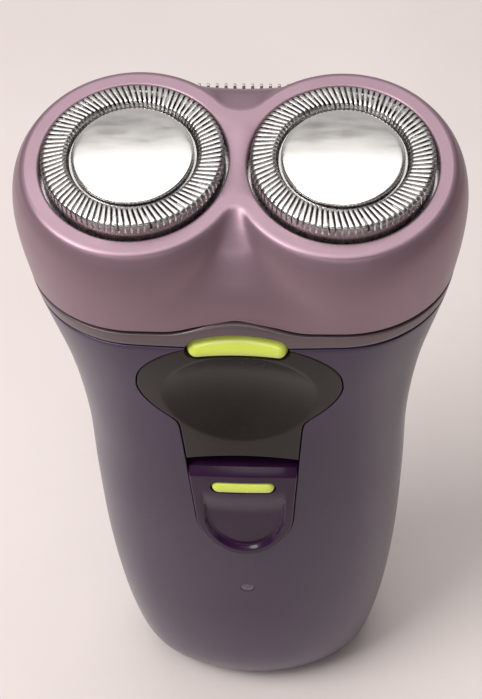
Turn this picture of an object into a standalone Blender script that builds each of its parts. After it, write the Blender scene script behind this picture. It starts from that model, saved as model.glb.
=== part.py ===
"""A two-head rotary shaver, modelled piece by piece at its real size.

Metres, +Z up. The front faces -Y, X runs to the right as the front is seen, and the origin
lies under the middle of the base. The heads, the drive and the collar's floor are square to
an axis that leans forward: their pieces hang on the empty head_axis, where local Z runs out
of the head and a "drop" is a distance down from the guards' top plane.
"""

import math

import bmesh
import bpy
from mathutils import Matrix, Vector

# Fits
GAP = 0.0003            # between two pieces that touch
RUNNING = 0.0003        # between turning pieces
WALL = 0.0018           # housing wall
OVERSHOOT = 0.004       # how far a cutter runs past what it cuts

# Body heights, from the base up
HANDLE_HEIGHT = 0.0942
COLLAR_BAND = 0.0025
CASING_HEIGHT = 0.0187
COLLAR_BASE = HANDLE_HEIGHT + GAP
PARTING = COLLAR_BASE + COLLAR_BAND
CASING_BASE = PARTING + GAP
HEAD_HEIGHT = CASING_BASE + CASING_HEIGHT

# Head layout
HEAD_TILT = math.radians(8)
HEAD_FORWARD = 0.0015   # middle of the guards' plane, ahead of the handle's middle
HEAD_SPACING = 0.0272
REACH = HEAD_SPACING / 2
SIDES = (("left", -REACH), ("right", REACH))

# Guards and caps
CAP_RADIUS = 0.008
TRACK_WIDTH = 0.004
GUARD_RADIUS = CAP_RADIUS + TRACK_WIDTH
GUARD_SHEET = 0.0005
GUARD_EDGE = 0.00035
GUARD_SKIRT = 0.0038
FLANGE_WIDTH = 0.0008
FLANGE_THICKNESS = 0.0008
CAP_SUNK = 0.0003       # the cap's rim lies below the slotted track
CAP_CROWN = 0.0002
WELL_DEPTH = 0.0010
WELL_SLOPE = 0.0006
STEM_RADIUS = 0.002
SLOT_COUNT = 48
SLOT_WIDTH = 0.00034
SLOT_DEPTH = 0.0014
SLOT_SLANT = math.radians(14)
HEAD_FLOAT = 0.0015

# Casing
CASING_RIM = 0.0016     # rim of the casing round a guard, at its top edge
CASING_LIP = 0.0009
CASING_DROP = 0.0016    # top of the casing below the guards' plane
CASING_LEAN = math.radians(3.7)     # its top leans further forward than the guards
CASING_END = 0.0159     # end radius at the parting line
ARCH_RISE = 0.0025
ARCH_REACH = 0.010

# Handle
BASE_WALL = 0.0022
GRIP_WIDTH = 0.0245     # half width
GRIP_END = 0.0143       # end radius of the grip's outline
GRIP_DEPTH = 0.0165     # middle to front, and to rear
OUTER_POINTS = 9        # steps along each quarter of an outline
INNER_POINTS = 6
SIDE_SHARE = 0.4        # share of a quarter's points that lies across its side

# Trimmer and its pocket in the rear
TRIMMER_WIDTH = 0.028
POCKET_Y = 0.014
POCKET_WALL = 0.0012
POCKET_BASE = HANDLE_HEIGHT - 0.0072
HINGE_UP = 0.0028
HINGE_RADIUS = 0.0014
HINGE_PIN = 0.0007
PIN_BITE = 0.0012
BLADE_SHEET = 0.0005
ARM_THICKNESS = 0.001
ARM_HEIGHT = 0.0190
LIP_PROUD = 0.0003
LIP_WIDTH = 0.008
LIP_DOWN = 0.0048
LIP_HEIGHT = 0.0012
TOOTH_PITCH = 0.00122
TOOTH_COUNT = 19
TOOTH_LENGTH = 0.0019
TRIMMER_RISE = 0.0264   # tooth tips above the pocket's base

# Thumb panel, switch and button, placed down from the handle's top
PANEL_DOWN = 0.0086     # middle of the oval
PANEL_WIDTH = 0.0142
PANEL_HEIGHT = 0.0098
NECK_WIDTH = 0.0086
NECK_BLEND = 0.0015
SLOT_DOWN = 0.0252      # the panel's lower edge, at its sides
SLOT_FOOT = 0.0480      # lowest point of the slot
SWITCH_WIDTH = 0.0074
SWITCH_ROUND = 0.0098
SWITCH_GAP = 0.0023     # open slot above the switch when it is off
SWITCH_TRAVEL = 0.0018
SWITCH_PROUD = 0.0004
PANEL_ARCH = 0.00175    # rise of the panel's lower edge
SWITCH_ARCH = 0.00095   # rise of the switch's upper edge
SCOOP_DOWN = 0.0392
SCOOP_WIDTH = 0.0113
SCOOP_HEIGHT = 0.0108
SCOOP_DEPTH = 0.0009
SCOOP_OUT = 0.0026      # middle of the scoop's ellipsoid, ahead of the switch
POCKET_FRONT = 0.0126   # floor of the keyhole pocket, ahead of the middle
PAD_BACK = 0.0114       # back of the wall behind that pocket
PAD_WIDTH = 0.0165
PAD_FOOT = 0.0025
DISH_DOWN = 0.0112
DISH_WIDTH = 0.0160
DISH_HEIGHT = 0.0076
DISH_DEPTH = 0.0023
DISH_OUT = 0.0034       # middle of the dish's ellipsoid, ahead of the panel
BAR_WIDTH = 0.0048
BAR_HEIGHT = 0.0013
BAR_DOWN = 0.0307
BAR_ARCH = 0.0002
BAR_SEAT = 0.0012
BAR_PROUD = 0.0005
PEG_WIDTH = 0.0016
PEG_HEIGHT = 0.0018
BUTTON_WIDTH = 0.0069
BUTTON_HEIGHT = 0.0019
BUTTON_ARCH = 0.0006
BUTTON_CROWN = 0.0012   # how much more its upper edge rises
BUTTON_DOWN = 0.0007    # middle of the button's ends
BUTTON_PROUD = 0.0008
BUTTON_TRAVEL = 0.0016
BUTTON_FLANGE = 0.0011
CHAMBER_FRONT = 0.0143
CHAMBER_BACK = 0.0098
CHAMBER_DOWN = 0.0023
CHAMBER_UP = 0.0008
SEAT_FRONT = 0.0086
SEAT_THICKNESS = 0.0014
SEAT_UP = 0.0040        # top of the spring's seat above the handle's top

# Drive, as drops below the guards' plane
BLADE_DROP = GUARD_SHEET + RUNNING
CUTTER_COUNT = 15
CUTTER_DROP = 0.0030
CUTTER_SHEET = 0.0006
CARRIER_RADIUS = 0.0082
CARRIER_SHEET = 0.0008
CARRIER_HUB = 0.0034
CARRIER_FOOT = 0.0090
SOCKET_DROP = 0.0058
SPINDLE_RADIUS = 0.0016
SPINDLE_TIP = 0.00135
SPINDLE_SHOULDER = 0.0098
SPINDLE_FOOT = 0.0146
FRAME_DROP = 0.0064
FRAME_THICKNESS = 0.0012
FRAME_END = 0.0118
LOCK_RADIUS = 0.0032
LOCK_WING = 0.0092
LOCK_THICKNESS = 0.0011
LOCK_GRIP = 0.0018
LUG_REACH = 0.0078
LUG_THICKNESS = 0.0013
FLOOR_DROP = 0.0165
FLOOR_THICKNESS = 0.0015
SPIGOT = 0.0040
SPIGOT_GAP = 0.0008
SPIGOT_WALL = 0.0010
SPIGOT_DRAW = 0.0006
PLUG_REAR = 0.0100      # the plug's side tongues end here, ahead of the pocket's wall
GEAR_DROP = 0.0200
GEAR_THICKNESS = 0.0030
GEAR_TEETH = 24
PINION_TEETH = 10
MODULE = HEAD_SPACING / (GEAR_TEETH + PINION_TEETH)
SLEEVE_RADIUS = 0.0026
SLEEVE_BORE = 0.0020
SLEEVE_TOP = 0.0122
AXLE_RADIUS = 0.0008
AXLE_TOP = 0.0166
PLATE_DROP = 0.0242
PLATE_THICKNESS = 0.0015
PLATE_END = 0.0088
PLATE_BOW = 0.0006
POST_RADIUS = 0.0012
POST_X = 0.0040
POST_Y = 0.0078
MOTOR_RADIUS = 0.010
MOTOR_FLAT = 0.0077
MOTOR_LENGTH = 0.0220
MOTOR_CAP = 0.0026
SHAFT_RADIUS = 0.001
SCREW_REACH = 0.0064
SPRING_WIRE = 0.0004
SPRING_TURNS = 4

# Inside the handle
CELL_RADIUS = 0.00725
CELL_LENGTH = 0.048
CELL_BASE = 0.0112
CELL_TIP = 0.0012
CELL_TIP_RADIUS = 0.0027
BOARD_WIDTH = 0.028
BOARD_BASE = 0.0120
BOARD_DOWN = 0.0302     # top of the board below the handle's top
BOARD_THICKNESS = 0.0016
BOARD_FRONT = 0.0068    # front face, ahead of the middle
CELL_Y = CELL_RADIUS + GAP + BOARD_THICKNESS - BOARD_FRONT
LIGHT_HEIGHT = 0.036
LIGHT_RADIUS = 0.0011
LAMP_LENGTH = 0.0024
INLET_SIZE = (0.0114, 0.0064)
INLET_FLANGE = 0.0013
INLET_HEIGHT = 0.0080
INLET_SUNK = 0.0005
INLET_PIN = 0.0006
INLET_PIN_X = 0.0022
BOSS_RADIUS = 0.0024
BOSS_PLACES = ((0.0132, 0.0074), (0.0160, HANDLE_HEIGHT - 0.0162))
SCREW_RADIUS = 0.0011
SCREW_HEAD = 0.0020
SCREW_HEAD_HEIGHT = 0.0012
SCREW_BITE = 0.0035     # how far a housing screw runs into the front half

# The handle's outline: height, half width, end radius, front depth, rear depth
STATIONS = (
    (0.000, GRIP_WIDTH - 0.0077, GRIP_END - 0.0059, GRIP_DEPTH - 0.0058, GRIP_DEPTH - 0.0071),
    (0.002, GRIP_WIDTH - 0.0057, GRIP_END - 0.0038, GRIP_DEPTH - 0.0039, GRIP_DEPTH - 0.0052),
    (0.005, GRIP_WIDTH - 0.0042, GRIP_END - 0.0023, GRIP_DEPTH - 0.0023, GRIP_DEPTH - 0.0035),
    (0.010, GRIP_WIDTH - 0.0029, GRIP_END - 0.0011, GRIP_DEPTH - 0.0009, GRIP_DEPTH - 0.0018),
    (0.020, GRIP_WIDTH - 0.0014, GRIP_END - 0.0003, GRIP_DEPTH - 0.0001, GRIP_DEPTH - 0.0005),
    (0.035, GRIP_WIDTH - 0.0003, GRIP_END, GRIP_DEPTH, GRIP_DEPTH),
    (0.052, GRIP_WIDTH, GRIP_END, GRIP_DEPTH, GRIP_DEPTH),
    (HANDLE_HEIGHT - 0.028, GRIP_WIDTH, GRIP_END, GRIP_DEPTH - 0.0002, GRIP_DEPTH),
    (HANDLE_HEIGHT - 0.0142, REACH + 0.0123, CASING_END - 0.0013, CASING_END + 0.0001, GRIP_DEPTH),
    (HANDLE_HEIGHT, REACH + 0.0154, CASING_END - 0.0001, CASING_END + 0.0003, GRIP_DEPTH),
    (CASING_BASE, REACH + CASING_END, CASING_END, CASING_END + 0.0001, CASING_END + 0.0003),
)

# The casing's outline: drop, share of the head's tilt, end radius, front depth, rear depth
CREST = GUARD_RADIUS + CASING_RIM
CASING = (
    (CASING_DROP, 1.0, CREST, CREST - 0.0072, CREST - 0.0058),
    (0.0018, 1.0, CREST + 0.0008, CREST - 0.0064, CREST - 0.0046),
    (0.0024, 1.0, CREST + 0.0015, CREST - 0.0052, CREST - 0.0028),
    (0.0034, 1.0, CREST + 0.0022, CREST - 0.0036, CREST - 0.0006),
    (0.0050, 0.9, CREST + 0.0027, CREST - 0.0018, CREST + 0.0014),
    (0.0076, 0.8, CREST + 0.0031, CREST - 0.0002, CREST + 0.0022),
    (0.0106, 0.6, CREST + 0.0031, CREST + 0.0010, CREST + 0.0024),
    (0.0142, 0.3, CASING_END + 0.0004, CREST + 0.0017, CREST + 0.0025),
    (CASING_HEIGHT, 0.0, CASING_END, CASING_END + 0.0001, CASING_END + 0.0003),
)

for old in list(bpy.data.objects):
    bpy.data.objects.remove(old, do_unlink=True)

PARTS = bpy.data.collections.new("rotary_shaver")
CUTTERS = bpy.data.collections.new("shaver_cutters")
CUTTERS.hide_render = True
for made in (PARTS, CUTTERS):
    bpy.context.scene.collection.children.link(made)

head_axis = bpy.data.objects.new("head_axis", None)
head_axis.location = (0, -HEAD_FORWARD, HEAD_HEIGHT)
head_axis.rotation_euler = (HEAD_TILT, 0, 0)
head_axis.empty_display_size = 0.01
PARTS.objects.link(head_axis)


def finish(name, colour, roughness, metallic=0.0):
    material = bpy.data.materials.new(name)
    material.use_nodes = True
    shader = material.node_tree.nodes["Principled BSDF"]
    shader.inputs["Base Color"].default_value = (*colour, 1)
    shader.inputs["Roughness"].default_value = roughness
    shader.inputs["Metallic"].default_value = metallic
    return material


MAUVE = finish("mauve_lacquer", (0.26, 0.17, 0.20), 0.38, 0.3)
COLLAR_GREY = finish("collar_grey", (0.20, 0.15, 0.17), 0.4, 0.2)
VIOLET = finish("violet_plastic", (0.075, 0.06, 0.085), 0.35)
PANEL_BLACK = finish("panel_black", (0.035, 0.03, 0.028), 0.5)
PURPLE = finish("purple_plastic", (0.05, 0.025, 0.06), 0.2)
LIME = finish("lime_plastic", (0.55, 0.72, 0.03), 0.25)
STEEL = finish("polished_steel", (0.72, 0.72, 0.72), 0.2, 1.0)
BLADE_STEEL = finish("blade_steel", (0.55, 0.55, 0.55), 0.3, 1.0)
WHITE_PLASTIC = finish("gear_plastic", (0.75, 0.74, 0.70), 0.45)
BLACK_PLASTIC = finish("black_plastic", (0.02, 0.02, 0.02), 0.45)
BRASS = finish("brass", (0.65, 0.47, 0.18), 0.3, 1.0)
BOARD_GREEN = finish("board_green", (0.02, 0.12, 0.05), 0.4)
CELL_GREEN = finish("cell_sleeve", (0.05, 0.22, 0.14), 0.35)
LIGHT_CLEAR = finish("light_pipe", (0.45, 0.36, 0.42), 0.15)


def add(name, mesh, collection, parent=None, location=(0, 0, 0), rotation=(0, 0, 0)):
    obj = bpy.data.objects.new(name, mesh)
    obj.parent = parent
    obj.location = location
    obj.rotation_euler = rotation
    collection.objects.link(obj)
    return obj


def part(name, mesh, material, **place):
    """One sub-part, shaded smooth except across its real edges."""
    mesh.materials.append(material)
    if isinstance(mesh, bpy.types.Mesh):
        mesh.shade_smooth()
        mesh.set_sharp_from_angle(angle=math.radians(32))
    return add(name, mesh, PARTS, **place)


def tool(name, mesh, **place):
    """A cutter, or a shape that is joined on."""
    obj = add(name, mesh, CUTTERS, **place)
    obj.hide_render = True
    obj.display_type = "WIRE"
    return obj


def combine(obj, operation, tools, solver):
    for other in tools:
        modifier = obj.modifiers.new(f"{operation.lower()} {other.name}", "BOOLEAN")
        modifier.operation = operation
        modifier.object = other
        modifier.solver = solver


def cut(obj, *tools, solver="EXACT"):
    combine(obj, "DIFFERENCE", tools, solver)


def join(obj, *tools, solver="EXACT"):
    combine(obj, "UNION", tools, solver)


def keep(obj, *tools, solver="EXACT"):
    combine(obj, "INTERSECT", tools, solver)


def round_edges(obj, width, segments=2, angle=40):
    modifier = obj.modifiers.new("round", "BEVEL")
    modifier.width = width
    modifier.segments = segments
    modifier.limit_method = "ANGLE"
    modifier.angle_limit = math.radians(angle)


def mesh_of(bm):
    mesh = bpy.data.meshes.new("shape")
    bm.to_mesh(mesh)
    bm.free()
    return mesh


def put_block(bm, low, high, turn=None):
    """A box between two corners, turned about the local origin where turn is given."""
    low, high = Vector(low), Vector(high)
    place = Matrix.Translation((low + high) / 2) @ Matrix.Diagonal((*(high - low), 1))
    bmesh.ops.create_cube(bm, size=1, matrix=(turn or Matrix()) @ place)


def put_rod(bm, radius, start, end, segments=16):
    start, end = Vector(start), Vector(end)
    along = end - start
    place = Matrix.Translation((start + end) / 2) @ along.to_track_quat("Z", "Y").to_matrix().to_4x4()
    bmesh.ops.create_cone(
        bm, cap_ends=True, segments=segments, radius1=radius, radius2=radius, depth=along.length, matrix=place
    )


def block(low, high):
    bm = bmesh.new()
    put_block(bm, low, high)
    return mesh_of(bm)


def rod(radius, start, end, segments=16):
    bm = bmesh.new()
    put_rod(bm, radius, start, end, segments)
    return mesh_of(bm)


def rods(radius, pairs, segments=16):
    bm = bmesh.new()
    for start, end in pairs:
        put_rod(bm, radius, start, end, segments)
    return mesh_of(bm)


def ellipsoid(middle, half_size, segments):
    bm = bmesh.new()
    bmesh.ops.create_uvsphere(bm, u_segments=segments, v_segments=segments // 2 + 2, radius=1)
    place = Matrix.Translation(middle) @ Matrix.Diagonal((*half_size, 1))
    bmesh.ops.transform(bm, matrix=place, verts=bm.verts)
    return mesh_of(bm)


def turned(profile, closed=False):
    """A profile of (radius, height) points, ready for the Screw modifier of turn()."""
    bm = bmesh.new()
    points = [bm.verts.new((radius, 0, height)) for radius, height in profile]
    following = points[1:] + points[:1] if closed else points[1:]
    for first, second in zip(points, following):
        bm.edges.new((first, second))
    return mesh_of(bm)


def turn(obj, segments):
    modifier = obj.modifiers.new("turn", "SCREW")
    modifier.axis = "Z"
    modifier.steps = segments
    modifier.render_steps = segments
    modifier.use_merge_vertices = True
    modifier.merge_threshold = 0.00001
    modifier.use_smooth_shade = True
    return obj


def plate(outlines, thickness):
    """A flat outline, with any holes after it, filled and extruded about local Z = 0."""
    curve = bpy.data.curves.new("outline", "CURVE")
    curve.dimensions = "2D"
    curve.fill_mode = "BOTH"
    curve.extrude = thickness / 2
    for outline in outlines:
        spline = curve.splines.new("POLY")
        spline.points.add(len(outline) - 1)
        spline.use_cyclic_u = True
        for point, (x, y) in zip(spline.points, outline):
            point.co = (x, y, 0, 1)
    drawn = add("outline", curve, CUTTERS)
    seen = drawn.evaluated_get(bpy.context.evaluated_depsgraph_get())
    mesh = bpy.data.meshes.new_from_object(seen)
    bpy.data.objects.remove(drawn)
    bm = bmesh.new()
    bm.from_mesh(mesh)
    bmesh.ops.remove_doubles(bm, verts=bm.verts, dist=0.000001)
    bm.to_mesh(mesh)
    bm.free()
    return mesh


def prism(outline, front, back):
    """A front-view outline of (x, z) points, run through the body from one Y to another."""
    mesh = plate([outline], back - front)
    mesh.transform(Matrix.Translation((0, (front + back) / 2, 0)) @ Matrix.Rotation(math.pi / 2, 4, "X"))
    return mesh


def circle(radius, segments=24, centre=(0, 0), phase=0.0):
    steps = (phase + math.tau * i / segments for i in range(segments))
    return [(centre[0] + radius * math.cos(a), centre[1] + radius * math.sin(a)) for a in steps]


def smooth_value(stations, column, at):
    """One column of a station table at a height, on a smooth curve through the stations."""
    heights = [row[0] for row in stations]
    at = min(max(at, heights[0]), heights[-1])
    upper = next(i for i in range(1, len(heights)) if at <= heights[i])
    lower = upper - 1

    def slope(i):
        before, after = max(i - 1, 0), min(i + 1, len(heights) - 1)
        return (stations[after][column] - stations[before][column]) / (heights[after] - heights[before])

    span = heights[upper] - heights[lower]
    t = (at - heights[lower]) / span
    start, end = stations[lower][column], stations[upper][column]
    return (
        start * (1 + 2 * t) * (1 - t) ** 2
        + slope(lower) * span * t * (1 - t) ** 2
        + end * t * t * (3 - 2 * t)
        + slope(upper) * span * t * t * (t - 1)
    )


def end_tangent(spread, end_radius, depth):
    """The arc across one side of an outline: its radius, its centre and its angle on the round end.

    A negative radius is a hollow arc, as in the valley between the casing's lobes.
    """
    if abs(depth - end_radius) < 0.000001:
        depth = end_radius + 0.000001
    radius = (depth**2 - end_radius**2 + spread**2) / (2 * (depth - end_radius))
    centre = radius - depth
    lean = radius - end_radius
    return radius, centre, math.atan2(centre / lean, spread / lean)


def outline_points(spread, end_radius, front, rear, count=OUTER_POINTS):
    """Two round ends, joined by one arc across the front and one across the rear.

    A quarter's points stand at even steps across to the end's middle and at even turns round the
    end, whatever the depth, so that the rings of a loft line up.
    """
    across = round(count * SIDE_SHARE)
    around = count - across
    turns = [math.pi / 2 * (1 - i / around) for i in range(around)]
    places = [spread * i / across for i in range(across)] + [spread + end_radius * math.cos(a) for a in turns]

    def quarter(depth):
        radius, centre, angle = end_tangent(spread, end_radius, depth)
        points = []
        for x in places:
            if x < spread + end_radius * math.cos(angle):
                y = math.copysign(math.sqrt(radius**2 - x**2), radius) - centre
            else:
                y = math.sqrt(end_radius**2 - (x - spread) ** 2)
            points.append((x, y))
        return points

    front_half = quarter(front)
    rear_half = quarter(rear)
    tip = spread + end_radius
    right = [(x, -y) for x, y in front_half] + [(tip, 0)] + rear_half[:0:-1]
    left = [(-x, y) for x, y in rear_half] + [(-tip, 0)] + [(-x, -y) for x, y in front_half[:0:-1]]
    return right + left


def body_outline(height, inset):
    """The body's outline at a height, drawn in by inset; an inner one has fewer points."""
    width, end_radius, front, rear = (smooth_value(STATIONS, column, height) for column in (1, 2, 3, 4))
    counts = INNER_POINTS if inset > WALL / 2 else OUTER_POINTS
    return outline_points(width - end_radius, end_radius - inset, front - inset, rear - inset, counts)


def body_ring(height, inset=0.0):
    return [Vector((x, y, height)) for x, y in body_outline(height, inset)]


def arched_ring(height, inset=0.0):
    """An outline whose front rises over the release button."""
    ring = body_ring(height, inset)
    for point in ring:
        if point.y < 0 and abs(point.x) < ARCH_REACH:
            point.z += ARCH_RISE * (1 + math.cos(math.pi * point.x / ARCH_REACH)) / 2
    return ring


def level_ring(height, inset, drop):
    """An outline that lies in the plane at a drop below the guards."""
    ring = body_ring(height, inset)
    for point in ring:
        point.z = HEAD_HEIGHT - drop / math.cos(HEAD_TILT) + math.tan(HEAD_TILT) * (point.y + HEAD_FORWARD)
    return ring


def casing_ring(drop, inset=0.0):
    share, end_radius, front, rear = (smooth_value(CASING, column, drop) for column in (1, 2, 3, 4))
    tilt = (HEAD_TILT + CASING_LEAN) * share
    middle = Vector((0, share * (drop * math.sin(HEAD_TILT) - HEAD_FORWARD), HEAD_HEIGHT - drop))
    counts = INNER_POINTS if inset else OUTER_POINTS
    flat = outline_points(REACH, end_radius - inset, front - inset, rear - inset, counts)
    return [middle + Vector((x, y * math.cos(tilt), y * math.sin(tilt))) for x, y in flat]


def loft(rings):
    """A closed skin through rings of equal count, listed from the bottom up.

    Its quads are split alike within each quarter, so that the two sides mirror each other.
    """
    bm = bmesh.new()
    rows = [[bm.verts.new(point) for point in ring] for ring in rings]
    count = len(rows[0])
    for lower, upper in zip(rows, rows[1:]):
        for i in range(count):
            quad = [lower[i], lower[(i + 1) % count], upper[(i + 1) % count], upper[i]]
            if (4 * i // count) % 2:
                quad.append(quad.pop(0))
            bm.faces.new((quad[0], quad[1], quad[2]))
            bm.faces.new((quad[0], quad[2], quad[3]))
    caps = [bm.faces.new(rows[0][::-1]), bm.faces.new(rows[-1])]
    bmesh.ops.triangulate(bm, faces=caps)
    return mesh_of(bm)


def surface_y(x, height, inset, side):
    """Y of the body's wall at a place on its front (side -1) or rear (side 1)."""
    ring = [p for p in body_outline(height, inset) if p[1] * side > 0]
    ring.sort()
    for (x0, y0), (x1, y1) in zip(ring, ring[1:]):
        if x0 <= x <= x1:
            return y0 + (y1 - y0) * (x - x0) / (x1 - x0)
    raise ValueError("the place lies beyond the body's side")


def head_point(x, y, drop):
    return Vector((x, y, -drop))


def keyhole_width(height):
    """Half width of the opening that holds the thumb panel above and the switch below."""
    oval_middle = HANDLE_HEIGHT - PANEL_DOWN
    round_middle = HANDLE_HEIGHT - SLOT_FOOT + SWITCH_ROUND
    if height < round_middle:
        part_way = min((round_middle - height) / SWITCH_ROUND, 1.0)
        return SWITCH_WIDTH * math.sqrt(1 - part_way**2)
    oval = PANEL_WIDTH * math.sqrt(max(1 - ((height - oval_middle) / PANEL_HEIGHT) ** 2, 0))
    if height > oval_middle:
        return oval
    neck_top = oval_middle - PANEL_HEIGHT
    climb = min((height - round_middle) / (neck_top - round_middle), 1)
    neck = SWITCH_WIDTH + (NECK_WIDTH - SWITCH_WIDTH) * climb
    return (oval + neck + math.sqrt((oval - neck) ** 2 + (NECK_BLEND * climb) ** 2)) / 2


def keyhole(low, high, grow, low_arch=0.0, high_arch=0.0, steps=18, across=6):
    """The keyhole's outline between two heights, with arched ends where asked."""
    heights = [low + (high - low) * (1 - math.cos(math.pi * i / steps)) / 2 for i in range(steps + 1)]
    right = [(keyhole_width(z) + grow, z) for z in heights]
    right = [(x, z) for x, z in right if x > 0.0002]
    left = [(-x, z) for x, z in reversed(right)]

    def arch(end, rise):
        width, height = end
        inner = [width * (1 - 2 * i / across) for i in range(1, across)]
        return [(x, height + rise * (1 - (x / width) ** 2)) for x in inner]

    top = arch(right[-1], high_arch) if high_arch else []
    foot = [(-x, z) for x, z in arch(right[0], low_arch)] if low_arch else []
    return right + top + left + foot


def capsule(width, height, middle, arch=0.0, crown=0.0, steps=6, grow=0.0):
    """A sausage outline in front view, its middle bowed up by arch, its upper edge by crown as well."""
    width, height = width + grow, height + grow
    straight = width - height
    points = []
    for side in (1, -1):
        for i in range(steps + 1):
            a = side * math.pi / 2 - math.pi * i / steps
            points.append((side * straight + height * math.cos(a), height * math.sin(a)))
        inner = [side * straight * (1 - 2 * i / steps) for i in range(1, steps)]
        points += [(x, -side * height) for x in inner]

    def bow(x, z):
        return (arch + crown * (1 + z / height) / 2) * (1 - (x / width) ** 2)

    return [(x, middle + z + bow(x, z)) for x, z in points]


def gear_outline(teeth, phase):
    """Straight-sided teeth about the pitch circle, with backlash."""
    pitch = MODULE * teeth / 2
    step = math.tau / teeth
    points = []
    for i in range(teeth):
        middle = phase + step * i
        for share, radius in ((-0.30, -1.1), (-0.13, 0.8), (0.13, 0.8), (0.30, -1.1)):
            a = middle + share * step
            reach = pitch + radius * MODULE
            points.append((reach * math.cos(a), reach * math.sin(a)))
    return points


def comb_outline(width, foot, tip, tooth_width, count):
    """A steel sheet whose upper edge is cut into teeth."""
    root = tip - TOOTH_LENGTH
    points = [(-width, foot), (width, foot), (width, root)]
    for i in range(count):
        x = TOOTH_PITCH * ((count - 1) / 2 - i)
        for side, height in ((1, root), (0.5, tip), (-0.5, tip), (-1, root)):
            points.append((x + side * tooth_width, height))
    return points + [(-width, root)]


def spring(name, radius, length, turns, material, per_turn=8, **place):
    """One unbroken coil along local Z; its least gap to itself is printed."""
    count = turns * per_turn
    points = []
    for i in range(count + 1):
        a = math.tau * i / per_turn
        points.append(Vector((radius * math.cos(a), radius * math.sin(a), length * i / count)))
    curve = bpy.data.curves.new(name, "CURVE")
    curve.dimensions = "3D"
    curve.bevel_depth = SPRING_WIRE / 2
    curve.bevel_resolution = 1
    curve.use_fill_caps = True
    spline = curve.splines.new("POLY")
    spline.points.add(count)
    for point, place_at in zip(spline.points, points):
        point.co = (*place_at, 1)
    apart = per_turn // 2
    least = min((a - b).length for i, a in enumerate(points) for b in points[i + apart:])
    print(f"{name}: least gap to itself {1000 * (least - SPRING_WIRE):.2f} mm")
    return part(name, curve, material, **place)


# Handle

def handle_solid(inset=0.0, low=0.0, high=HANDLE_HEIGHT):
    fine = (0.0, 0.0012, 0.003, 0.006, 0.010, 0.016, 0.026, 0.038, 0.052)
    upper = (0.026, 0.019, 0.012, 0.006)
    heights = [low] + [z for z in fine if z > low + 0.0005]
    heights += [HANDLE_HEIGHT - down for down in upper] + [high]
    return loft([body_ring(z, inset) for z in heights])


def far_box(y_low, y_high, x=0.05, low=-0.01, high=0.13):
    return block((-x, y_low, low), (x, y_high, high))


def boss_pairs(side, reach):
    """Both ends of each housing boss: inside the wall, and reach short of the seam."""
    pairs = []
    for x, height in BOSS_PLACES:
        for place in (-x, x):
            wall = surface_y(place, height, 0, side)
            pairs.append(((place, wall, height), (place, side * reach, height)))
    return pairs


board_y = -BOARD_FRONT
board_top = HANDLE_HEIGHT - BOARD_DOWN
pad_top = HANDLE_HEIGHT + OVERSHOOT
pad_low = HANDLE_HEIGHT - SLOT_FOOT - PAD_FOOT
slot_top = HANDLE_HEIGHT - SLOT_DOWN
slot_low = HANDLE_HEIGHT - SLOT_FOOT
button_z = HANDLE_HEIGHT - BUTTON_DOWN
light_front = surface_y(0, LIGHT_HEIGHT, 0, -1)

cavity_heights = (BASE_WALL, 0.006, 0.012, 0.026, 0.052)
cavity_rings = [body_ring(z, WALL) for z in cavity_heights]
cavity_rings += [body_ring(HANDLE_HEIGHT - down, WALL) for down in (0.026, 0.012, 0.0)]
cavity_rings.append([p + Vector((0, 0, OVERSHOOT)) for p in cavity_rings[-1]])

pocket_half = TRIMMER_WIDTH / 2 + GAP
trimmer_pocket = tool(
    "trimmer_pocket", block((-pocket_half, POCKET_Y, POCKET_BASE), (pocket_half, 0.05, HEAD_HEIGHT + 0.02))
)
pocket_wall_half = pocket_half + POCKET_WALL + PIN_BITE
pocket_backing = tool(
    "pocket_backing",
    block(
        (-pocket_wall_half, POCKET_Y - POCKET_WALL, POCKET_BASE - POCKET_WALL),
        (pocket_wall_half, 0.05, HEAD_HEIGHT + 0.02),
    ),
)
panel_backing = tool("panel_backing", block((-PAD_WIDTH, -0.05, pad_low), (PAD_WIDTH, -PAD_BACK, pad_top)))

front_cavity = tool("front_cavity", loft(cavity_rings))
cut(front_cavity, panel_backing)
rear_cavity = tool("rear_cavity", loft(cavity_rings))
cut(rear_cavity, pocket_backing)

inlet_x, inlet_y = INLET_SIZE
inlet_hole = tool(
    "inlet_hole",
    block(
        (-inlet_x / 2 - GAP, -inlet_y / 2 - GAP, -OVERSHOOT),
        (inlet_x / 2 + GAP, inlet_y / 2 + GAP, BASE_WALL + OVERSHOOT),
    ),
)
pocket_outline = keyhole(slot_low - GAP, HANDLE_HEIGHT + OVERSHOOT / 2, GAP, steps=22)
keyhole_pocket = tool("keyhole_pocket", prism(pocket_outline, -0.05, -POCKET_FRONT))
notch_outline = capsule(BUTTON_WIDTH, BUTTON_HEIGHT, button_z, BUTTON_ARCH, BUTTON_CROWN, grow=GAP)
button_notch = tool("button_notch", prism(notch_outline, -0.05, BUTTON_TRAVEL + 3 * GAP - CHAMBER_FRONT))
chamber_low = HANDLE_HEIGHT - CHAMBER_DOWN
chamber_high = HANDLE_HEIGHT + CHAMBER_UP
chamber_half = BUTTON_WIDTH + 2 * BUTTON_FLANGE
button_chamber = tool(
    "button_chamber",
    block((-chamber_half, -CHAMBER_FRONT, chamber_low), (chamber_half, -CHAMBER_BACK, chamber_high)),
)
peg_top = HANDLE_HEIGHT - BAR_DOWN
peg_slot = tool(
    "peg_slot",
    block(
        (-PEG_WIDTH - GAP, -POCKET_FRONT - OVERSHOOT / 4, peg_top - 2 * PEG_HEIGHT - GAP),
        (PEG_WIDTH + GAP, -PAD_BACK + OVERSHOOT / 4, peg_top + SWITCH_TRAVEL + GAP),
    ),
)
light_way = [(0, light_front + run, LIGHT_HEIGHT) for run in (-OVERSHOOT, OVERSHOOT)]
light_hole = tool("light_hole", rod(LIGHT_RADIUS + GAP, *light_way, 14))

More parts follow.
